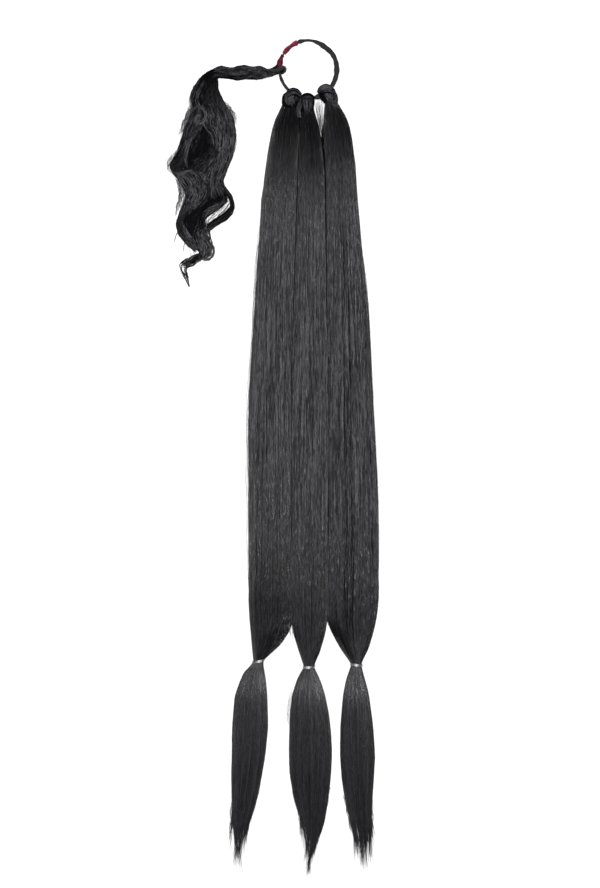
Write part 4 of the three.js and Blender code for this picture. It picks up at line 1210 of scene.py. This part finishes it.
lockLower = [
    # wave that folds back under the left corner
    (sheet([(176, 158, 5), (170, 164, 4.5), (171, 170, 4), (177, 178, 3.5), (182, 187, 3.5), (185, 195, 4),
            (183, 203, 4.5), (178.5, 213, 4.5), (176, 224, 4.5), (178.4, 234, 4.5), (185.4, 243.5, 4),
            (195, 252, 4)],
           [(182, 158, 6), (176, 165, 6), (177, 171, 7), (185, 178, 7), (190, 187, 6.5), (192, 196, 7),
            (189.5, 204, 7), (182.5, 213, 6.5), (180, 223, 6), (183, 232, 6), (190, 241, 5.5),
            (197, 249.5, 5)],
           [(187, 162, 5), (182, 168, 7), (186, 171.5, 9), (194, 176, 9), (198.5, 186, 8), (200, 196, 8),
            (196.5, 204, 8), (186.5, 211, 7), (183, 221, 6.5), (187, 230, 6.5), (193.5, 239, 6),
            (199, 248, 5.5)]),
     320, {**curly, "top": 0.55, "lit": (0, 0, 0.4, 1.4, 1.1, 1.2, 0.8, 0.2, 0.1, 0.4, 0.9, 0.7)}),
    # lit rim of the fold
    (lane([(174, 172.4), (180, 174), (186, 172.6), (192, 170.4)], (7, 9.4, 10, 9), (0.5, 1.1, 1, 0.5), 0.8),
     30, {"tone": (0.5, 1), "ragged": 0.3, "wave": 0.8, "waveLength": 9, "lit": 1.7}),
    (sheet([(187, 163, 5), (183, 168, 7), (187, 171.5, 9), (195, 176, 9), (199.5, 186, 8), (200, 196, 8)],
           [(198, 166, 5), (197, 170, 8), (202, 172.5, 9.5), (209, 178, 9), (210.5, 187, 8),
            (209, 197, 7)]),
     150, {**curly, "steps": 18, "ragged": 0.15, "lit": (0, 0.5, 1.2, 0.9, 0.8, 0.5)}),
    (sheet([(204, 190, 8), (198, 195.5, 8), (190, 202, 7.5), (184, 209, 7)],
           [(210, 198, 7), (203, 202, 7), (195, 207, 7), (187, 213, 6)]),
     90, {**curly, "steps": 16, "ragged": 0.15, "lit": (0.6, 1.2, 0.9, 0.2)}),
    # open loop on the right, and the ridge over it
    (sheet([(221, 180, 6), (226, 187, 6.5), (232, 196, 6), (234.5, 206, 5.5), (231.5, 214.5, 5),
            (224, 221, 5), (214, 227, 5), (208, 232, 5)],
           [(219, 182, 7), (225, 189, 8), (231, 197, 8), (232.5, 206, 7.5), (229.5, 212.5, 7),
            (222, 218.5, 7), (213.5, 224, 7), (207, 228, 6.5)],
           [(217, 184, 5), (223, 190.5, 6), (228.5, 198, 6), (230, 204.5, 5.5), (226.5, 209.5, 5),
            (219.5, 215, 5), (212, 220, 5), (206, 224, 5)]),
     170, {**curly, "wave": 0.35, "clumps": 8, "lit": (0.7, 0.5, 0.2, 0.1, 0.2, 0.3, 0.4)}),
    (sheet([(224, 194, 5), (221, 200.5, 5.5), (213, 204, 6), (206, 208, 6), (200, 214, 5)],
           [(228, 197.5, 4), (226, 201.5, 5), (217, 209.5, 6), (209, 215.5, 6), (203, 220, 5)]),
     120, {**curly, "steps": 18, "ragged": 0.12, "wave": 0.6, "lit": (0.2, 0.6, 1.5, 1.2, 0.2)}),
    # lower mass, its small loop, the light lock inside and the tail
    (sheet([(203, 212, 4), (198, 222, 4), (193.5, 231, 4.5), (195, 241, 5), (199, 250, 5), (198, 258, 4.5)],
           [(207, 216, 5), (204, 226, 6), (202, 236, 6.5), (204, 245, 6), (205, 252, 5.5), (201, 259, 5)],
           [(210, 222, 4.5), (209.6, 231, 5), (211.6, 240, 5), (212.5, 247, 4.5), (210.5, 254, 4.5),
            (205, 260, 4)]),
     210, {**curly, "top": 0.7, "ragged": 0.14, "begin": 0.2, "lit": (0, 0, 0.8, 1.7, 1.7, 1.2)}),
    (lane([(208, 240), (213, 247), (213, 254), (208, 259), (202, 259)], (5, 6, 6, 5, 4.5), 0.9, 0.7),
     26, {"ragged": 0.15, "wave": 0.4, "waveLength": 10}),
    (lane([(183, 225), (186, 233), (190, 238.5), (195, 243)], (7, 8.6, 8.4, 7), (0.6, 1.5, 1.5, 0.6), 0.7),
     44, {"tone": (0.4, 1), "ragged": 0.3, "wave": 0.7, "waveLength": 10, "lit": 1.6}),
    (sheet([(208, 248, 4), (199, 252, 4), (191, 256, 3.5), (184, 260, 3), (180, 263.4, 2.5)],
           [(212, 255, 4), (206, 258.5, 4), (199, 262, 3.5), (192, 265.4, 3), (186, 268, 2.5)]),
     100, {**curly, "steps": 20, "wave": 0.5, "clumps": 6, "top": 0.8, "lit": (1.2, 1.2, 1, 0.8)}),
    # open hook at its end
    (sheet([(188, 257, 3.5), (181.5, 260.6, 3), (178.8, 264.6, 2.5), (181.4, 272, 1.8), (185.4, 280, 1.4),
            (189, 288, 1)],
           [(191, 265, 3.4), (188.4, 267, 3), (186.6, 269.4, 2.5), (187.4, 275, 1.8), (188.4, 281, 1.4),
            (189.4, 287, 1)]),
     60, {**curly, "steps": 20, "wave": 0.3, "clumps": 6, "bunch": -0.6, "top": 1.0, "pointed": True,
          "lit": 0.4}),
]
lockCrimps = [
    # front, left side, block under the hollow and lower mass
    (sheet([(204, 108, 9), (205.5, 120, 10), (214.5, 135, 10), (215, 150, 9.5), (208, 165, 9),
            (202, 178, 9), (202, 190, 8.5)],
           [(214, 104, 10), (219.5, 117, 11.8), (222, 132, 12.3), (221.5, 147, 11.5), (217, 163, 10.2),
            (212, 178, 9.2), (213, 192, 8)],
           [(223, 103, 9), (232, 116, 7.5), (235, 131, 7), (234, 146, 6.5), (229, 161, 6.5),
            (223, 176, 6.5), (224, 188, 7)]), 340,
     {**crimp, "short": 0.09, "lit": (0.4, 1, 1.2, 1, 0.9, 0.9)}),
    (sheet([(191, 104, 5.5), (190, 116, 5), (184, 130, 5), (179, 143, 5), (172, 158, 5)],
           [(199, 106, 10), (203, 118, 10.5), (196, 131, 9.5), (189, 144, 8.5), (184, 160, 7.5)]),
     90, {**crimp, "short": 0.15, "lit": (0.7, 0.7, 0.6, 0.4, 0.1)}),
    (sheet([(174, 172, 5), (181, 184, 5), (185, 196, 5.5), (180, 210, 6), (178, 226, 6)],
           [(190, 170, 9), (194, 182, 9), (196, 194, 8.5), (188, 206, 8), (183, 222, 7.5)],
           [(208, 172, 9.8), (208, 184, 9.4), (206, 196, 8.6), (197, 207, 8), (188, 216, 7.4)]),
     140, {**crimp, "short": 0.16, "lit": (1, 1.2, 1, 0.5, 0.2)}),
    (sheet([(198, 222, 6), (194, 232, 6), (197, 242, 6), (200, 252, 6)],
           [(209, 226, 6), (210.5, 236, 6.4), (212, 246, 6), (208, 254, 5.6)]),
     80, {**crimp, "lit": (0, 0.6, 1.7, 1.3)}),
    # painted shade: the dark dip from the hollow to the right, then the edges of the hollows, from the top
    # down
    (sheet([(208, 147, 11), (215, 150, 11.8), (223, 153.4, 10.4)],
           [(207, 154, 10.4), (213, 157, 11), (221, 159.4, 9.8)]),
     60, {**crimp, "short": 0.5, "lit": 0.1}),
    (sheet([(201, 90, 7), (201.5, 101, 8.5), (204, 112, 9.5)],
           [(218, 87, 7), (220, 99, 9), (224, 111, 10.5)]),
     50, {**crimp, "short": 0.35, "lit": (0, 0.2, 0.8)}),
    (sheet([(204, 79, 8), (198, 88, 7.5), (195.5, 98, 7.5), (197, 106, 8.5)],
           [(210, 82, 7.5), (205, 90, 7.5), (202.5, 99, 8), (204, 107, 9)]), 20, {**crimp, "lit": 0.3}),
    (sheet([(203, 124, 8), (206, 134, 8), (207, 146, 8), (204, 158, 8)],
           [(212, 124, 10.5), (215, 134, 10.5), (216, 146, 10.5), (213, 158, 9.5)]),
     26, {**crimp, "lit": 0.2, "rim": 0.5}),
    (sheet([(199, 126, 8.5), (190, 140, 8), (186, 152, 7.5), (186, 162, 7)],
           [(206, 130, 8.5), (198, 144, 8), (194, 155, 7.5), (194, 165, 7.5)]),
     24, {**crimp, "lit": 0.3, "rim": 0.5}),
    (sheet([(190, 160, 7), (197, 158, 7.5), (204, 154, 8), (211, 149, 9)],
           [(190, 170, 7.5), (199, 168, 8), (207, 163, 8.5), (214, 157, 9)]),
     30, {**crimp, "lit": 0.22}),
    (sheet([(186, 206, 7.5), (194, 203, 8), (202, 199, 8), (210, 195, 8)],
           [(186, 214, 7), (195, 210, 7), (203, 206, 7.2), (212, 202, 7)]),
     26, {**crimp, "lit": 0.25}),
    (sheet([(200, 206, 7), (198, 216, 6.5), (197, 226, 6.5), (198, 234, 7)],
           [(207, 210, 7), (205, 219, 6.5), (204, 228, 6.5), (204, 237, 7)]),
     14, {**crimp, "lit": 0.1}),
    (sheet([(184, 208, 7), (181, 217, 6.5), (183, 227, 6.5), (188, 235, 6.5)],
           [(190, 210, 7), (187, 218, 6.5), (188, 226, 6.5), (193, 234, 6.5)]),
     14, {**crimp, "lit": 0.15}),
]
lockStrays = [
    # hair across the hollows, mostly in the shade material: painted shade
    (sheet([(209, 76, 5), (203, 86, 5), (201, 97, 6), (203, 108, 7)],
           [(216, 80, 5), (214, 90, 6), (210, 100, 7), (210, 112, 8)]), 40, hollowHair),
    (sheet([(205, 124, 7), (196, 138, 6.5), (189.5, 150, 6), (190, 164, 6.5)],
           [(211, 130, 8), (208, 142, 7), (205, 155, 7), (199, 168, 7.5)]), 44, hollowHair),
    (sheet([(205, 192, 5), (208, 198, 5), (212, 203, 5)], [(220, 190, 6), (221, 196, 5.5), (219, 203, 6)]),
     30, hollowHair),
    (sheet([(196, 204, 5), (186, 214, 5), (184, 223, 5), (190, 232, 5)],
           [(204, 208, 5), (200, 217, 5), (197, 226, 5), (199, 234, 5.5)]), 46, hollowHair),
    # loose hair round the outline
    (sheet([(204, 73.5, 5), (194.5, 84, 4), (189, 97, 3), (189.5, 108, 3)],
           [(206, 74, 6), (196.5, 85, 5), (191, 97, 4), (190.5, 108, 4)]), 50, curlStrays),
    (sheet([(186.6, 96, 3), (188.4, 104, 3.5), (185, 114, 3.5), (180, 128, 3.5), (175.4, 142, 3.5)],
           [(192, 98, 4), (193, 106, 5), (189, 116, 5), (184, 128, 5), (179, 142, 5)]), 90, curlStrays),
    (sheet([(174, 150, 4), (168, 158, 3), (166.5, 166, 3), (172, 176, 3)],
           [(176, 152, 5), (170, 160, 4), (169, 168, 4), (174, 177, 4)]), 26, curlStrays),
    (sheet([(172.6, 172, 3), (177, 184, 3), (178, 196, 3), (175.6, 208, 3), (174.6, 220, 3)],
           [(178, 174, 4), (184, 186, 4), (186, 197, 4), (182, 208, 4), (178, 220, 4)]), 110, curlStrays),
    (sheet([(222, 98, 5), (230, 106, 5), (236.5, 116, 5), (238, 128, 5)],
           [(221, 99, 6), (227, 107, 6), (233, 117, 6), (235, 129, 6)]), 44, curlStrays),
    (sheet([(236, 126, 5), (236.5, 140, 5), (233, 156, 5), (227, 170, 5), (222, 180, 5)],
           [(231, 126, 6), (231, 140, 6), (228, 155, 6), (223, 168, 6), (219, 178, 6)]), 60, curlStrays),
    (sheet([(206, 220, 5), (214, 213, 5), (222, 206, 5), (229, 199, 5)],
           [(211, 222, 5), (219, 216, 5), (226, 210, 5), (230.5, 203, 5)]),
     9, {**curlStrays, "thin": 1.2, "wave": 0.5, "short": 0.0, "ragged": 0.05, "clumps": 9,
         "pointed": False}),
    (sheet([(187, 246, 3), (190, 256, 3), (184, 262, 2.5), (178, 268, 2)],
           [(195, 250, 4), (196, 258, 3), (190, 263, 3), (184, 268, 2)]), 16, curlStrays),
    (sheet([(180, 266, 2.5), (180.5, 272, 2), (184.5, 280, 1.5), (188.5, 289, 1)],
           [(188, 267, 2.5), (189, 274, 2), (189.5, 281, 1.5), (189.5, 288, 1)]), 22, curlStrays),
    (lane([(181, 229), (177, 233), (174.8, 238), (174.2, 243)], (4, 3, 2, 1.5), (0.7, 0.2), 0.4),
     7, {"thin": 0.6, "pointed": True}),
    (lane([(185, 240), (183.5, 246), (182.6, 252)], (4, 2.5, 1.5), (0.7, 0.2), 0.4),
     6, {"thin": 0.5, "pointed": True}),
]
wrapParts = {
    "wrap_knot": {"strands": [
        (lane([(276, 71.6), (279.5, 69.2), (282.6, 67.4), (284.2, 67.8), (283.6, 70.2), (279.5, 72)],
              (3.6, 6.4, 6.6, 4.6, 2.4, 2.2), (1.6, 1.9, 1.6), (1.3, 1.3)), 120, {"lit": 0.5}),
        (lane([(266, 70.2), (270, 69.2), (273.5, 67.6), (278.3, 63.5), (281, 58), (283, 53.5)],
              (5, 5.2, 5, 4, 3.6, 3.4), (1.1, 0.8, 0.5), (0.9, 0.6, 0.5)), 40,
         {"tone": (0, 0.3), "lit": 0.2}),
    ]},
    "wrap_rope": {"strands": [
        (ropeGuides, 420, ropeUnder), (ropeGuides, 190, ropeOver),
        (ropeGuides, 30, {**curlStrays, "wave": 0.9}),
    ]},
    "wrap_lock": {"upper": lockUpper, "lower": lockLower, "crimps": lockCrimps, "strays": lockStrays},
}
# dark cores in the shade material under the strands: painted shade, which shows in the hollows of the lock
wrapCores = {
    "wrap_knot": [lane([(278.5, 71.5), (281, 69.5), (283, 69.2)], (3, 3.6, 3.4), (1.8, 2.4, 1.6), 1.4)],
    "wrap_rope": [lane([(279, 69.5), (270, 72), (260, 72), (247, 71.6), (234, 72.6), (219, 71.4),
                        (213, 73)],
                       (3, 3.2, 3.6, 3.8, 3.6, 3.4), (1.4, 2.2, 3.4, 3.8, 3.6, 3.2, 2.4),
                       (1.4, 1.8, 2.2, 2.2, 2.2, 1.8))],
    "wrap_lock": [
        lane([(222, 70), (211, 72.5), (202, 80), (196, 90), (194, 100), (196, 110), (193, 122), (186, 138),
              (180, 152), (173, 163)], 3.6, (3, 3.2, 3.2, 2.8, 2.4, 3, 3.4, 3.4, 3, 2), 2.2),
        lane([(213.5, 76), (210, 90), (207, 105), (208, 120), (207, 138), (203, 155), (200, 168),
              (203, 182), (206, 193)], 3, (4, 6.4, 9, 12, 14.5, 15, 13, 11, 9), 2.4),
        lane([(203, 186), (197, 205), (193, 220), (196, 236), (203, 248), (203, 257)], 2.6,
             (10, 8.4, 9.6, 8, 5.6, 3), 2),
        lane([(212, 180), (215.5, 191), (214.5, 199), (211, 206), (205, 214)], 2.6, (7, 9, 9.6, 6, 3), 1.8),
        lane([(220, 184), (229, 195), (232, 206), (226, 214), (214, 222), (206, 227)], 4.4, 1.7, 1.7),
        lane([(208, 252), (197, 257.5), (189, 261.5), (184.5, 264)], (2.4, 2.2, 1.8, 1.4),
             (2.8, 3, 2.4, 1.2), (1.4, 1.2, 0.8, 0.4)),
        lane([(220, 73), (213, 76.5), (206.5, 85), (203.5, 96), (204, 106)], 3.4, (2.2, 4.2, 5, 5, 4), 2),
    ],
}
# thin hair across the gaps between hanks, and wisps beside a tail
gapHair = {"thin": 0.26, "depth": 2.0, "wave": 0.4, "waveLength": 30, "ragged": 0.3, "steps": 12,
           "lit": 0.5}
gapParts = [
    (sheet([(315.5, 99, 5), (316, 110, 4), (318.5, 121, 3), (320.5, 131, 2)],
           [(322.5, 98, 6), (323, 110, 5), (323, 121, 3), (322.5, 131, 2)]), 60, gapHair),
    (sheet([(317, 114, 4), (318, 121, 3), (319.5, 129, 2), (321, 138, 2)],
           [(323, 114, 5), (322.8, 121, 3), (322.4, 129, 2), (322.4, 138, 2)]), 40, gapHair),
    (sheet([(288.6, 610, 7), (288.2, 622, 4), (289.2, 632, 2), (291, 642, 1)],
           [(296, 610, 7), (296, 622, 4), (295.8, 632, 2), (295, 642, 1)]), 30, gapHair),
    (sheet([(293, 686, 4), (287.5, 704, 3), (286.2, 718, 2), (288, 728, 1.5)],
           [(296, 684, 5), (291.5, 700, 4), (289.5, 715, 3), (290.5, 730, 2)]), 16,
     {**gapHair, "wave": 1.0}),
]
# painted shade: a dark core in the shade material in the groove between the left and the middle hank below
# the knots
gapCores = [lane([(299.8, 106), (299, 118), (297.8, 134), (296.6, 150)], 2.6, (1.6, 3, 3, 2), 1.8)]
tailWisps = {
    "left": [(sheet([(262.5, 762, 4), (259, 792, 3), (252, 822, 2), (246, 848, 1)],
                    [(258, 762, 5), (254.5, 792, 4), (248, 822, 3), (243, 852, 1.5)]), 40),
             (sheet([(231, 800, 4), (229.5, 820, 3), (228.6, 838, 2), (229, 852, 1)],
                    [(234, 800, 5), (232.5, 820, 4), (231.5, 840, 2), (232, 862, 1)]), 26)],
    "middle": [(sheet([(290.5, 772, 4), (294.5, 796, 3), (299, 822, 2), (302, 850, 1)],
                      [(294.5, 768, 5), (298.5, 796, 4), (302.5, 822, 2), (305, 858, 1)]), 46),
               (sheet([(331, 776, 4), (328, 804, 3), (322.5, 828, 2), (317, 852, 1)],
                      [(327, 776, 5), (324, 804, 4), (318.5, 830, 2), (313.5, 858, 1)]), 30)],
    "right": [(sheet([(342.5, 786, 4), (346.5, 812, 3), (351.5, 838, 2), (355.5, 866, 1)],
                     [(346.5, 782, 5), (350.5, 812, 4), (355.5, 838, 2), (358.5, 870, 1)]), 36),
              (sheet([(373.6, 800, 4), (373.2, 822, 3), (374, 842, 2), (374.5, 858, 1)],
                     [(369.5, 800, 5), (369.5, 822, 4), (370.5, 842, 2), (371.5, 864, 1)]), 26)],
}

# Elastic, thread and bands

# flat gives angle, reach in degrees and gain where the elastic lies flat, and lumps how often it swells
ring = {
    "middle": (29.0, 325.24), "radius": 25, "seam": 269.0, "stations": 300, "sides": 16, "squareness": 0.8,
    "full": 0.54, "lumps": (11, 23), "uneven": 0.06, "flat": ((288, 5, 0.9), (107, 7, 0.8)), "skin": 0.75,
}


def sectionsRound(node):
    # angle round the elastic in degrees, then middle radius, middle height, half width and half height there
    corners = cornersOf(node) - (*ring["middle"], 0)
    angle = np.degrees(np.arctan2(corners[:, 1], corners[:, 0])) % 360
    reach = np.hypot(corners[:, 0], corners[:, 1])
    rows = []
    for place in np.unique(np.round(angle, 1)):
        here = np.abs((angle - place + 180) % 360 - 180) < 0.2
        low, high = reach[here].min(), reach[here].max()
        under, top = corners[here, 2].min(), corners[here, 2].max()
        rows.append((place, (low + high) / 2, (under + top) / 2, (high - low) * ring["full"],
                     (top - under) / 2))
    return np.array(rows)


def roundPoints(angle, reach, height):
    # points at angles in degrees, distances from the middle of the elastic, and heights
    way = np.radians(angle)
    x, y = ring["middle"]
    return np.stack([x + reach * np.cos(way), y + reach * np.sin(way), height], axis=-1)


def addRing(rng):
    rows = sectionsRound("elastic_ring")
    angle = ring["seam"] + np.arange(ring["stations"]) * 360 / ring["stations"]
    reach, middle, wide, high = (
        np.interp(angle % 360, rows[:, 0], rows[:, k], period=360) for k in (1, 2, 3, 4))
    for lumps in ring["lumps"]:
        wide = wide * (1 + ring["uneven"] * np.sin(np.radians(angle) * lumps + rng.uniform(0, 6)))
    for place, spread, gain in ring["flat"]:
        wide = wide * (1 + gain * np.exp(-((angle % 360 - place) / spread) ** 2))
    turn = np.linspace(0, 2 * math.pi, ring["sides"], endpoint=False)
    # a flat band folded on its edge: squarer than an ellipse
    flat, tall = (
        np.sign(wave) * np.abs(wave) ** ring["squareness"] for wave in (np.cos(turn), np.sin(turn)))
    loops, along, across = [], [], []
    for i in range(ring["stations"]):
        loops.append(roundPoints(angle[i], reach[i] + flat * wide[i], middle[i] + tall * high[i]))
        along.append(np.full(ring["sides"], math.radians(i * 360 / ring["stations"]) * ring["radius"]))
        across.append((wide[i] + high[i]) * np.abs(math.pi - turn) * ring["skin"])
    piece = loftPiece("elastic_ring_cover", [loops], braidMaterial(), closed=True)
    for name, values in (("along", along), ("across", across)):
        piece.data.attributes.new(name, "FLOAT", "POINT").data.foreach_set("value", np.concatenate(values))
    keep(piece, "elastic_ring")
    print("elastic built,", len(piece.data.polygons), "faces")


def addThread(node, material, rng):
    rows = sectionsRound(node)
    first, last = rows[0, 0], rows[-1, 0]
    turns = math.radians(last - first) * rows[:, 1].mean() / thread["pitch"]
    count = int(turns * thread["perTurn"])
    share = np.linspace(0, 1, count)
    angle = first + (last - first) * share
    reach, middle, wide, high = (np.interp(angle, rows[:, 0], rows[:, k]) for k in (1, 2, 3, 4))
    at = share * turns * 2 * math.pi
    lump = thread["lumpSize"] * np.sin(share * thread["lumps"] + rng.uniform(0, 6))
    full = thread["full"] * (1 + lump + thread["flare"][node] * share)
    inset = thread["width"] / 2
    points = roundPoints(angle + thread["slipSize"] * np.sin(at * thread["slips"]),
                         reach + (wide - inset) * full * np.cos(at),
                         middle + (high - inset) * full * np.sin(at))
    points[:, 2] = np.maximum(points[:, 2], inset)
    swell = thread["swellSize"] * np.sin(at * thread["swells"])
    group = {"points": points[None], "taper": 1 + swell[None],
             "along": share[None] * turns * thread["turnLength"], "across": np.zeros((1, count)),
             "tone": np.full(1, thread["bright"][node])}
    coil = drawStrands(node + "_turns", [group], material, thread["width"], sides=6)
    keep(coil, node)
    print(node, "built,", len(coil.data.polygons), "faces")


def addBand(side, material):
    low, high = (np.array(corner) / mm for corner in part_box("tie_" + side))
    inset = band["width"] / 2
    count = int(band["turns"] * band["perTurn"])
    turn = np.linspace(0, band["turns"] * 2 * math.pi, count) + band["start"]
    flat, height = domeShape((turn + math.pi) % (2 * math.pi) - math.pi)
    half = (high[0] - low[0]) / 2 - inset
    x = (low[0] + high[0]) / 2 + half * flat
    z = low[2] + inset + (high[2] - low[2] - band["width"]) * height
    lean = math.tan(math.radians(band["tilt"][side]))
    wound = (np.linspace(0, 1, count) - 0.5) * band["turns"] * band["spacing"]
    y = (low[1] + high[1]) / 2 + half * flat * lean + wound
    # painted glint: white round one photo column on the band's upper side
    glintPlace = fromPhoto([(band["paintedGlint"][side], 0)])[0, 0]
    paintedGlint = np.exp(-((x - glintPlace) / band["paintedGlintReach"]) ** 2) * (height > 0.5)
    group = {"points": np.stack([x, y, z], axis=-1)[None], "taper": np.ones((1, count)),
             "along": np.zeros((1, count)), "across": np.zeros((1, count)), "tone": paintedGlint[None]}
    coil = drawStrands("tie_" + side + "_turns", [group], material, band["width"], sides=8)
    keep(coil, "tie_" + side)
    print("tie", side, "built,", len(coil.data.polygons), "faces")


# first seed of each kind of piece, and width of the strands of knots, and of the wrap strand and the gaps
seeds = {"ring": 30, "thread": 32, "hank": 40, "knot": 50, "wrap": 60, "gap": 70}
bundleWidth = {"knot": 0.28, "wrap": 0.26}
knotFrizz = 0.3

addStudio()
hair, curled = (fibreMaterial(name) for name in fibreFinish)
shade = shadeMaterial()
strands3d = strandTree()
addRing(np.random.default_rng(seeds["ring"]))
crimson, clear = threadMaterial(), bandMaterial()
for number, node in enumerate(thread["bright"]):
    addThread(node, crimson, np.random.default_rng(seeds["thread"] + number))
for number, side in enumerate(knotParts):
    addHank(side, np.random.default_rng(seeds["hank"] + number))
    addBundles("knot_" + side, {"strands": knotParts[side]}, knotCores[side],
               np.random.default_rng(seeds["knot"] + number), bundleWidth["knot"], hair, frizz=knotFrizz)
    addBand(side, clear)
for number, node in enumerate(wrapParts):
    addBundles(node, wrapParts[node], wrapCores[node], np.random.default_rng(seeds["wrap"] + number),
               bundleWidth["wrap"], curled)
addBundles("hank_middle", {"strays": gapParts}, gapCores, np.random.default_rng(seeds["gap"]),
           bundleWidth["wrap"], hair, label="gap")
